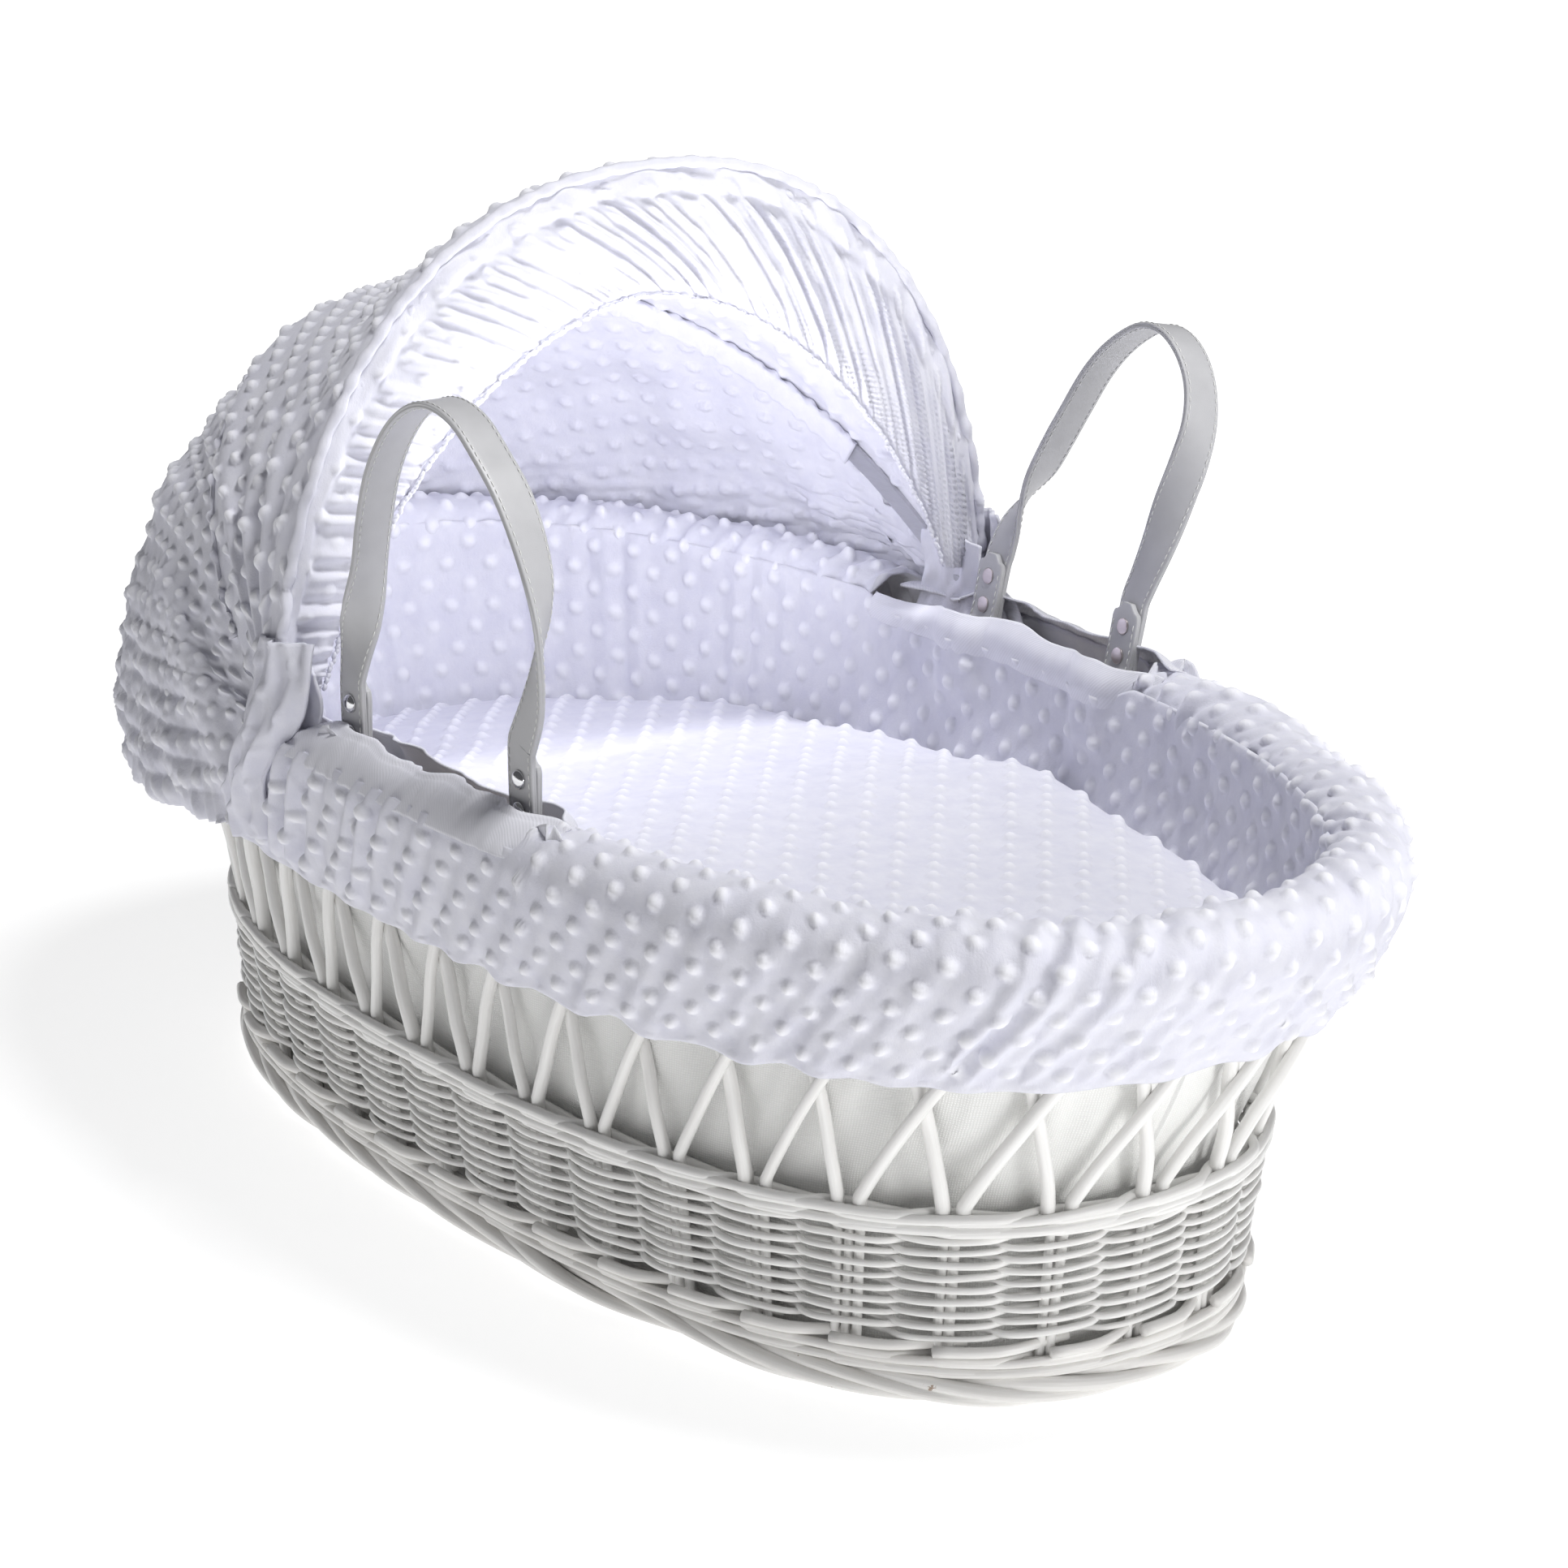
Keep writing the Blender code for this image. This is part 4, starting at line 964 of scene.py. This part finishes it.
def head_curve(a, b, start_x, z_foot, z_middle, rise, count):
    """Half oval round the head end, from the near side to the far side."""
    ring = oval(a + SHIFT, b, RIM_POWER, SHIFT)
    half = ring[ring[:, 0] <= start_x]
    index = np.linspace(len(half) - 1, 0, count)
    low = np.clip(index.astype(int), 0, len(half) - 2)
    part = (index - low)[:, None]
    flat = half[low] * (1 - part) + half[low + 1] * part
    share = np.sin(math.pi * np.linspace(0.0, 1.0, count)) ** rise
    return np.concatenate([flat, (z_foot + (z_middle - z_foot) * share)[:, None]], 1)


def canopy_front():
    count = 401
    foot = PIVOT.z + 0.012
    front = arch(FRONT_HALF + 0.0034, FRONT_TOP + 0.0034, count, foot)
    rear = arch(REAR_HALF + 0.0034, REAR_TOP + 0.0034, count, foot)
    curves = [upright(front, PIVOT.x + shift) for shift in (0.0062, -0.0068)]
    rear_front = lean_back(upright(rear, PIVOT.x + 0.0065), REAR_LEAN)
    for share, depth in ((0.25, 0.8), (0.5, 1.0), (0.75, 0.8)):
        point = curves[1] * (1 - share) + rear_front * share
        sag = 0.01 * depth * np.clip((point[:, 2] - foot) / 0.1, 0.0, 1.0)
        outward = 0.012 * depth * (1.0 - np.clip((point[:, 2] - foot) / 0.16, 0.0, 1.0))
        point[:, 2] -= sag
        point[:, 1] += np.sign(point[:, 1]) * outward * 0.3
        curves.append(point)
    curves += [rear_front, lean_back(upright(rear, PIVOT.x - 0.0065), REAR_LEAN)]
    base = smooth_rows(curves, 121)
    u, v = lengths(base, 1), lengths(base, 0)
    span = v[-1:]
    near_foot = fade(np.minimum(u, u[:, -1:] - u), 0.03, 0.26)
    u, v = u - u[:, count // 2:count // 2 + 1], v - v[60:61]
    fan = np.linspace(0, 1, 121)[:, None]
    rays = np.sin(TAU * (fan * 4.2 + 0.6 * np.sin(u * 9.0)) + 1.3 * np.sin(u * 16.0))
    middle = np.sin(math.pi * fan)
    lift = 0.0034 * near_foot * rays * middle * smoothstep(span, 0.02, 0.12)
    lift += 0.0016 * ripple(u, v, 0.11, 0.08, 8, 61) * middle
    base = base + normals_of(base, False) * lift[..., None]
    normal = normals_of(base, False)
    raised = dots(u, v)
    outer = base + normal * raised[..., None]
    inner = base - normal * (0.002 + dots(u + 0.006, v, 0.0042, 0.0024)[..., None])
    piece = cloth("hood_plush_front", base, outer, inner, "stretched", body=None,
                  replaces=["canopy_front"], raised=raised)
    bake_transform(piece)


def canopy_rear():
    count = 401
    rear = arch(REAR_HALF + 0.0034, REAR_TOP + 0.0034, count, PIVOT.z + 0.012)
    rows = [lean_back(upright(rear, PIVOT.x - 0.0072), REAR_LEAN),
            lean_back(upright(rear, PIVOT.x - 0.0092), REAR_LEAN)]
    for values in ((.345, .213, -.0865, .2485, .345, 1.2), (.38, .215, -.087, .246, .303, 1.0),
                   (.402, .217, -.088, .24, .263, .7), (.412, .2185, -.089, .23, .236, .7),
                   (.421, .22, -.09, .217, .203, .7), (.423, .2195, -.092, .206, .174, .7),
                   (.418, .218, -.094, .195, .15, .7)):
        rows.append(head_curve(*values, count))
    base = smooth_rows(rows, 151)
    u, v = lengths(base, 1), lengths(base, 0)
    full = v[-1:]
    from_foot = np.minimum(u, u[:, -1:] - u)
    u = u - u[:, count // 2:count // 2 + 1]
    low = fade(full - v, 0.055, 0.15)
    low *= smoothstep(full, 0.06, 0.14)
    rows_of_gathers = np.abs(np.sin(math.pi * (full - v) / 0.015)) ** 0.8
    puckers = ripple(u, v, 0.016, 0.012, 10, 71)
    side_part = 0.5 + 0.5 * np.abs(base[..., 1]) / 0.2
    lift = 0.0026 * low * side_part * (rows_of_gathers - 0.4) + 0.0008 * low * puckers
    rays = np.sin(TAU * (v / 0.05) + 2.0 * np.sin(u * 12.0))
    lift += 0.0022 * fade(from_foot, 0.02, 0.22) * rays * smoothstep(v, 0.006, 0.03)
    lift += 0.0018 * ripple(u, v, 0.1, 0.09, 8, 72) * smoothstep(v, 0.01, 0.06)
    hem = fade(full - v, 0.0, 0.02)
    lift += hem * 0.002 * ripple(u, 0 * v, 0.018, 1.0, 8, 73)
    base = base + normals_of(base, False) * lift[..., None]
    normal = normals_of(base, False)
    raised = (1.0 - low) * dots(u, v) + low * dots(u, v, 0.0042, 0.002)
    outer = base + normal * raised[..., None]
    inner = base - normal * (0.002 + dots(u + 0.006, v, 0.0042, 0.0024)[..., None])
    piece = cloth("hood_plush_rear", base, outer, inner, "gathered", body=None,
                  replaces=["canopy_rear", "canopy_elastic"], raised=raised)
    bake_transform(piece)


def valance():
    count = 661
    foot = 0.264
    plane = PIVOT.x + 0.0058
    outer = arch(FRONT_HALF + 0.004, FRONT_TOP + 0.0055, count, foot)
    inner = arch(0.2005, 0.433, count, foot, power=1.76, base_z=0.192)
    curves = []
    for share, push in ((0.0, -0.0005), (0.04, 0.0022), (0.16, 0.0034), (0.24, 0.0018), (0.34, 0.0034),
                        (0.65, 0.004), (0.9, 0.003), (1.0, 0.0004)):
        curves.append(upright(outer * (1 - share) + inner * share, plane + push))
    base = smooth_rows(curves, 52)
    u, v = lengths(base, 1), lengths(base, 0)
    share = np.linspace(0.0, 1.0, 52)[:, None]
    width = v[-1:]
    pleated = smoothstep(share, 0.2, 0.34)
    swing = ripple(u, v * 0.25, 0.0135, 0.6, 8, 81)
    fine = ripple(u, v, 0.0062, 0.2, 8, 82)
    wide = smoothstep(width, 0.012, 0.035)
    lift = 0.0022 * pleated * swing * (1 - 0.35 * share) + 0.001 * fine * smoothstep(share, 0.55, 0.95)
    lift += 0.0012 * ripple(u, v, 0.05, 0.03, 7, 83) * (1 - pleated)
    lift *= 0.35 + 0.65 * wide
    lift *= 1.0 - 0.7 * smoothstep(share, 0.92, 1.0)
    base[..., 0] += lift
    base[..., 2] += 0.0008 * ripple(u, 0 * v, 0.008, 1.0, 8, 84) * smoothstep(share, 0.9, 1.0)
    raised = dots(u, v, 0.0042, 0.0024) * (1 - 0.55 * pleated)
    raised = raised * smoothstep(share, 0.03, 0.08) * (0.4 + 0.6 * wide)
    front, back = base.copy(), base.copy()
    front[..., 0] += raised
    back[..., 0] -= 0.0018
    cloth("valance_plush", base, front, back, "gathered", body="hood_front", flip=True,
          replaces=["valance"], raised=raised)

    stitches, radii = [], []
    line = arch(0.1992, 0.4318, 420, foot, power=1.76, base_z=0.192)
    for i in range(0, 416, 2):
        points = upright(line[i:i + 3], plane + 0.0013)
        points[:, 1:] += rng.normal(0.0, 0.0004, 2)
        points[1, 0] += 0.0008
        stitches.append(smooth_line(points, 5))
        radii.append(0.0011)
    rods("valance_gathers", stitches, radii, PLUSH, "hood_front", sides=6,
         replaces=["valance_elastic"])


def hood_feet():
    """The gathered end of the hood cover, drawn down over each pivot and tucked over the skirt."""
    for label, side in (("near", -1), ("far", 1)):
        spine = [(-.064, .212, .292, .046), (-.0645, .215, .274, .05), (-.068, .2195, .256, .046),
                 (-.076, .2235, .238, .036), (-.086, .2235, .22, .03), (-.0935, .2205, .202, .034),
                 (-.097, .216, .186, .036)]
        line = smooth_line(spine, 61)
        across = np.linspace(-0.5, 0.5, 61)[None, :]
        base = np.empty((61, 61, 3))
        base[..., 0] = line[:, 0:1] + across * line[:, 3:4]
        curl = 0.01 * (2.0 * np.abs(across)) ** 2.2
        base[..., 1] = line[:, 1:2] - curl
        base[..., 2] = line[:, 2:3] + 0.1 * across * line[:, 3:4]
        u, v = across * 0.04 + 0 * line[:, :1], lengths(base, 0)
        twist = np.sin(TAU * (across * 2.3 + v / 0.085))
        twist = twist + 0.5 * np.sin(TAU * (across * 4.7 - v / 0.06) + 1.0)
        base[..., 1] += 0.0019 * twist + dots(u, v, 0.004, 0.0018)
        base[..., 1] *= side
        if side < 0:
            base = base[:, ::-1]
        inner = base - [0.0, side * 0.0018, 0.0]
        cloth("hood_foot_" + label, base, base, inner, "gathered")


def bow_sleeve(name, half_width, top, lean, body, start, end):
    """Gathered fabric channel round a flat bow, between two shares of its length."""
    line = arch(half_width - 0.0012, top - 0.0012, 401, PIVOT.z + 0.016)
    line = line[int(400 * start):int(400 * end) + 1]
    outward = unit(np.stack([line[:, 0], line[:, 1] - 0.231], 1))
    turn = TAU * np.arange(24) / 24
    wide = 0.0072 * np.sign(np.cos(turn)) * np.abs(np.cos(turn)) ** 0.5
    deep = 0.003 * np.sign(np.sin(turn)) * np.abs(np.sin(turn)) ** 0.7
    base = np.empty((len(line), 24, 3))
    run = np.arange(len(line))[:, None] * 0.0021
    puff = 1.0 + 0.1 * ripple(run, turn[None, :] * 0.004, 0.014, 0.02, 7, 95)
    base[..., 0] = PIVOT.x + wide[None, :] * puff
    base[..., 1] = line[:, 0:1] + outward[:, 0:1] * deep[None, :] * puff
    base[..., 2] = line[:, 1:2] + outward[:, 1:2] * deep[None, :] * puff
    if lean:
        base = lean_back(base.reshape(-1, 3), lean).reshape(base.shape)
    wall, *ends = tube_faces(*base.shape[:2])
    faces = [np.roll(wall[:, ::-1], 1, axis=1)] + [end[:, ::-1] for end in ends]
    piece = mesh_piece(name, base.reshape(-1, 3), faces, PLUSH, body)


def hood_feet_inside():
    """Plush patch on the inner side of each pivot."""
    for label, side in (("near", -1), ("far", 1)):
        x = np.linspace(-0.095, -0.047, 49)[None, :]
        z = np.linspace(0.228, 0.276, 49)[:, None]
        base = np.empty((49, 49, 3))
        base[..., 0] = x + 0.0015 * np.sin(z * 200.0)
        base[..., 2] = z + 0.004 * np.cos((x + 0.07) * 60.0) * smoothstep(z, 0.25, 0.276)
        tuck = 0.01 * smoothstep(-z, -0.245, -0.228)
        base[..., 1] = side * (0.1958 - 0.0012 * ripple(x, z, 0.018, 0.03, 7, 96) - tuck)
        inner = base + [0.0, side * 0.0016, 0.0]
        cloth("hood_foot_inside_" + label, base, base, inner, "gathered", flip=side > 0)


def piping():
    ridge = arch(FRONT_HALF + 0.0048, FRONT_TOP + 0.0062, 360, PIVOT.z + 0.012)
    path = upright(ridge, PIVOT.x + 0.0074)
    t = np.arange(360) / 360
    path[:, 0] += 0.0007 * rings_ripple(t, 12, 40, 5, 91)
    radius = 0.0028 * (1.0 + 0.14 * rings_ripple(t, 30, 90, 6, 92))
    rods("hood_piping", [path], [radius], PLUSH, "hood_front", sides=10, replaces=["canopy_piping"])


# ---------------------------------------------------------------- handles

STRAP_WIDTH, STRAP_THICK = 0.02, 0.003
SIDES = {
    "near": {
        "side": -1, "lean": 0.0, "feet": (-0.0295, 0.115),
        "run": [(-0.0715, 0.055), (-0.068, 0.07), (-0.0625, 0.09), (-0.0575, 0.11),
                (-0.0515, 0.135), (-0.0425, 0.16), (-0.027, 0.182), (-0.009, 0.196),
                (0.01, 0.2015), (0.03, 0.198), (0.048, 0.186), (0.068, 0.168),
                (0.084, 0.142), (0.089, 0.12), (0.087, 0.1), (0.082, 0.077),
                (0.0745, 0.06), (0.0725, 0.055)],
    },
    "far": {
        "side": 1, "lean": math.radians(12.0), "feet": (-0.0335, 0.0785),
        "run": [(-0.0545, 0.055), (-0.05, 0.068), (-0.042, 0.084), (-0.033, 0.1),
                (-0.024, 0.118), (-0.016, 0.134), (-0.003, 0.158), (0.012, 0.175),
                (0.031, 0.187), (0.048, 0.188), (0.064, 0.18), (0.0755, 0.166),
                (0.08, 0.148), (0.0775, 0.128), (0.072, 0.108), (0.066, 0.085),
                (0.06, 0.066), (0.0565, 0.055)],
    },
}


def strap_path(run, half):
    """Stations of one strap as (along, out, up), width and width direction."""
    offset = STRAP_THICK / 2 + 0.00015
    loop = 0.009 + 0.0012 + STRAP_THICK / 2
    tab = [(-offset, 0.052, 0.006), (-offset, 0.0485, 0.013), (-offset, 0.044, STRAP_WIDTH),
           (-offset, 0.019, STRAP_WIDTH), (-0.0055, 0.0145, STRAP_WIDTH), (-0.0098, 0.009, STRAP_WIDTH)]
    wrap = []
    for degrees in (172, 200, 228, 255, 285, 312, 340, 368):
        angle = math.radians(degrees)
        wrap.append((loop * math.cos(angle), loop * math.sin(angle), STRAP_WIDTH))
    leg = [(0.0098, 0.009, STRAP_WIDTH), (0.0055, 0.0145, STRAP_WIDTH), (offset, 0.019, STRAP_WIDTH),
           (offset, 0.046, STRAP_WIDTH)]
    foot = tab + wrap + leg
    points = [(-half, out, up) for out, up, _ in foot]
    widths = [width for _, _, width in foot]
    across = [(-1.0, 0.0, 0.0)] * len(foot)
    count = len(run)
    for i, (along, up) in enumerate(run):
        before, after = run[max(i - 1, 0)], run[min(i + 1, count - 1)]
        tangent = Vector((after[0] - before[0], 0.0, after[1] - before[1])).normalized()
        inward = Vector((tangent.z, 0.0, -tangent.x))
        turn_length = 0.055 if along < 0.0 else 0.115
        share = min(max((up - 0.055) / turn_length, 0.0), 1.0)
        twist = math.pi / 2 * share * share * (3.0 - 2.0 * share)
        face = Vector((0.0, 1.0, 0.0)) * math.cos(twist) + inward * math.sin(twist)
        points.append((along, offset * (1.0 - share), up))
        widths.append(STRAP_WIDTH)
        across.append(tuple(tangent.cross(face)))
    points += [(half, out, up) for out, up, _ in foot[::-1]]
    widths += [width for _, _, width in foot[::-1]]
    across += [(1.0, 0.0, 0.0)] * len(foot)
    return np.array(points), np.array(widths), np.array(across)


def rim_point(x, side):
    return Vector((x, side * side_y(RIM[1], x), RIM_Z))


def handle_frame(side, lean, feet):
    """Matrix from (along, out, up) to the basket, with the axis along the rim between the feet."""
    start, end = rim_point(feet[0], side), rim_point(feet[1], side)
    along = (end - start).normalized()
    up = Vector((0.0, 0.0, 1.0))
    out = Vector((-along.y, along.x, 0.0)) * side
    leaning_out = out * math.cos(lean) - up * math.sin(lean)
    leaning_up = up * math.cos(lean) + out * math.sin(lean)
    middle = (start + end) / 2
    rows = [[along[i], leaning_out[i], leaning_up[i], middle[i]] for i in range(3)]
    return np.array(rows)


def placed(matrix, points):
    return points @ matrix[:, :3].T + matrix[:, 3]


def strap_section():
    """Rounded flat section with a groove where the two layers meet, as shares of width and thickness."""
    right = [(0.487, 0.1), (0.494, 0.3), (0.478, 0.44), (0.455, 0.5), (0.3, 0.515), (0.0, 0.52)]
    upper = right + [(-w, h) for w, h in right[-2::-1]]
    lower = [(w, -h) for w, h in upper[::-1]]
    return np.array(upper + [(-0.478, 0.0)] + lower + [(0.478, 0.0)])


def lathe_mesh(profile, sides=28):
    """Vertices and faces of a profile of (radius, along) turned about +Y."""
    turn = TAU * np.arange(sides) / sides
    verts = []
    for radius, along in profile:
        verts.append(np.stack([radius * np.cos(turn), np.full(sides, along), radius * np.sin(turn)], 1))
    return np.concatenate(verts), tube_faces(len(profile), sides)


def dome(radius, height, base):
    """Half-round head that stands on base."""
    ring = [(radius * 0.55, base), (radius, base), (radius, base + 0.0004)]
    for turn in np.linspace(0.1, math.pi / 2 * 0.97, 8):
        ring.append((radius * math.cos(turn), base + 0.0004 + height * math.sin(turn)))
    return ring


def handles():
    section = strap_section()
    for label, strap in SIDES.items():
        body = "handle_" + label
        matrix = handle_frame(strap["side"], strap["lean"], strap["feet"])
        head, foot = (rim_point(x, strap["side"]) for x in strap["feet"])
        half = (foot - head).length / 2
        points, widths, across = strap_path(strap["run"], half)
        fine = through(np.concatenate([points, widths[:, None], across], 1), 7)
        path, widths, across = fine[:, :3], fine[:, 3], unit(fine[:, 4:])
        widths = np.clip(widths, 0.006, STRAP_WIDTH)
        tangent = unit(np.gradient(path, axis=0))
        across = unit(across - tangent * (across * tangent).sum(1, keepdims=True))
        normal = np.cross(across, tangent)
        rings = (path[:, None] + across[:, None] * (section[:, 0][None] * widths[:, None])[..., None]
                 + normal[:, None] * (section[:, 1] * STRAP_THICK)[None, :, None])
        verts, faces = placed(matrix, rings.reshape(-1, 3)), tube_faces(*rings.shape[:2])
        mesh_piece("strap_band_" + label, verts, faces, LEATHER, body, replaces=["strap_" + label])

        run = running(np.linalg.norm(np.diff(path, axis=0), axis=1))
        stitches, radii = [], []
        pitch, long = 0.0042, 0.003
        for start in np.arange(0.01, run[-1] - 0.012, pitch):
            at = np.linspace(start, start + long, 5)
            centre, side_dir, face_dir = (np.stack([np.interp(at, run, values[:, n]) for n in range(3)], 1)
                                          for values in (path, across, normal))
            raised = STRAP_THICK * 0.5 + 0.00008 + 0.00022 * np.sin(np.linspace(0, math.pi, 5))
            for edge in (-1, 1):
                for face in (-1, 1):
                    line = centre + side_dir * (edge * 0.008) + face_dir * (face * raised)[:, None]
                    stitches.append(placed(matrix, line))
                    radii.append(np.array([0.12, 0.26, 0.28, 0.26, 0.12]) * 0.001)
        rods("strap_stitches_" + label, stitches, radii, THREAD, body, sides=5)

        for end, sign in (("head", -1), ("foot", 1)):
            for number, height in ((1, 0.025), (2, 0.04)):
                front = STRAP_THICK + 0.0002
                parts = (("rivet_head", dome(0.0046, 0.0024, front), CHROME),
                         ("rivet_back", [(r, -a) for r, a in dome(0.0042, 0.0007, front)], BACKING))
                for part, profile, material in parts:
                    verts, faces = lathe_mesh(profile)
                    verts = placed(matrix, verts + [sign * half, 0.0, height])
                    place = f"_{label}_{end}_{number}"
                    mesh_piece(part + place, verts, faces, material, body,
                               replaces=["strap_rivet" + place])


def fittings():
    for label, side in (("near", -1), ("far", 1)):
        verts, faces = lathe_mesh(dome(0.0048, 0.0013, 0.2073))
        verts = verts * [1.0, side, 1.0] + [PIVOT.x, 0.0, PIVOT.z]
        mesh_piece("pivot_head_" + label, verts, faces, CHROME, "basket",
                   replaces=["pivot_rivet_" + label])
    for name in ("hood_bracket_near", "hood_bracket_far", "front_bow", "rear_bow"):
        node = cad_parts[name]
        for place in node.material_slots:
            place.material = STEEL


# ---------------------------------------------------------------- studio

def studio():
    scene = bpy.context.scene
    scene.view_settings.view_transform = "Standard"
    world = bpy.data.worlds.new("studio")
    world.use_nodes = True
    tree = world.node_tree
    seen = add(tree, "ShaderNodeLightPath").outputs["Is Camera Ray"]
    strength = add(tree, "ShaderNodeMapRange", Value=seen)
    fill(tree, strength, {"To Min": 0.1, "To Max": 0.72})
    light = tree.nodes["Background"]
    fill(tree, light, {"Color": (0.95, 0.96, 1.0, 1.0), "Strength": strength.outputs["Result"]})
    scene.world = world

    floor_material, tree, shader = new_material("pale_floor", (0.42, 0.42, 0.42), 0.7)
    away = add(tree, "ShaderNodeVectorMath", operation="LENGTH")
    fill(tree, away, {0: coordinates(tree)})
    glow = add(tree, "ShaderNodeMapRange", interpolation_type="SMOOTHSTEP", Value=away.outputs["Value"])
    fill(tree, glow, {"From Min": 0.55, "From Max": 1.6, "To Min": 0.8, "To Max": 1.05})
    tone = ramp(tree, noise(tree, coordinates(tree), 3.0), (0.3, 0.41), (0.7, 0.43))
    fill(tree, shader, {"Base Color": tone, "Emission Color": (1.0, 1.0, 1.0, 1.0),
                        "Emission Strength": glow.outputs["Result"]})
    mesh = bpy.data.meshes.new("floor")
    mesh.from_pydata([(-9, -9, 0), (9, -9, 0), (9, 9, 0), (-9, 9, 0)], [], [(0, 1, 2, 3)])
    mesh.materials.append(floor_material)
    floor = bpy.data.objects.new("floor", mesh)
    scene.collection.objects.link(floor)

    middle = (0.0, 0.0, 0.2)
    lamps = (("key", (2.7, 0.35, 0.5), middle, 0.9, 20.0),
             ("top", (0.8, 0.35, 2.7), middle, 0.7, 54.0),
             ("in_hood", (-0.03, -0.01, 0.315), (-0.35, 0.01, 0.5), 0.17, 0.54))
    for name, place, aim, size, power in lamps:
        data = bpy.data.lights.new(name, "AREA")
        data.shape = "DISK"
        data.size = size
        data.energy = power
        lamp = bpy.data.objects.new(name, data)
        lamp.location = place
        lamp.rotation_euler = (Vector(aim) - Vector(place)).to_track_quat("-Z", "Y").to_euler()
        lamp.visible_camera = False
        scene.collection.objects.link(lamp)


def camera():
    azimuth, elevation = math.radians(55.01), math.radians(18.17)
    level = math.cos(elevation)
    back = Vector((math.sin(azimuth) * level, -math.cos(azimuth) * level, math.sin(elevation)))
    right = Vector((math.cos(azimuth), math.sin(azimuth), 0.0))
    up = back.cross(right)
    data = bpy.data.cameras.new("view")
    data.lens = 114.2
    data.sensor_width = 36.0
    data.clip_start, data.clip_end = 0.05, 50.0
    made = bpy.data.objects.new("view", data)
    turn = Matrix((right, up, back)).transposed().to_4x4()
    made.matrix_world = Matrix.Translation((1.9299, -1.311, 0.9636)) @ turn
    bpy.context.scene.collection.objects.link(made)
    bpy.context.scene.camera = made


camera()
studio()
weave_wall()
wale("waling_rods", (0.0912, 0.0966), 0.0026, 0.0054, WICKER, 0.0015, replaces=["top_waling"])
border()
lattice()
rim()
base()
liner()
lining()
skirt()
OUTER_BAND = [(.4212, .2146, .2385), (.419, .2124, .243), (.413, .207, .249), (.406, .201, .253),
              (.4, .195, .255)]
INNER_BAND = [(.3832, .1748, .229), (.383, .173, .236), (.385, .174, .244), (.388, .179, .251)]
for label, side, seed in (("near", -1, 101), ("far", 1, 111)):
    edge_strip("binding_band_" + label, side, OUTER_BAND, 0.0018, seed, 0.01, ["binding_outer_" + label])
    edge_strip("binding_inside_" + label, side, INNER_BAND, 0.001, seed + 5, 0.008,
               ["binding_inner_" + label])
ties()
coverlet()
mattress()
canopy_front()
canopy_rear()
valance()
piping()
hood_feet()
hood_feet_inside()
bow_sleeve("sleeve_front", FRONT_HALF, FRONT_TOP, 0.0, "hood_front", 0.0, 1.0)
bow_sleeve("sleeve_rear", REAR_HALF, REAR_TOP, REAR_LEAN, "hood_rear", 0.02, 0.88)
handles()
fittings()
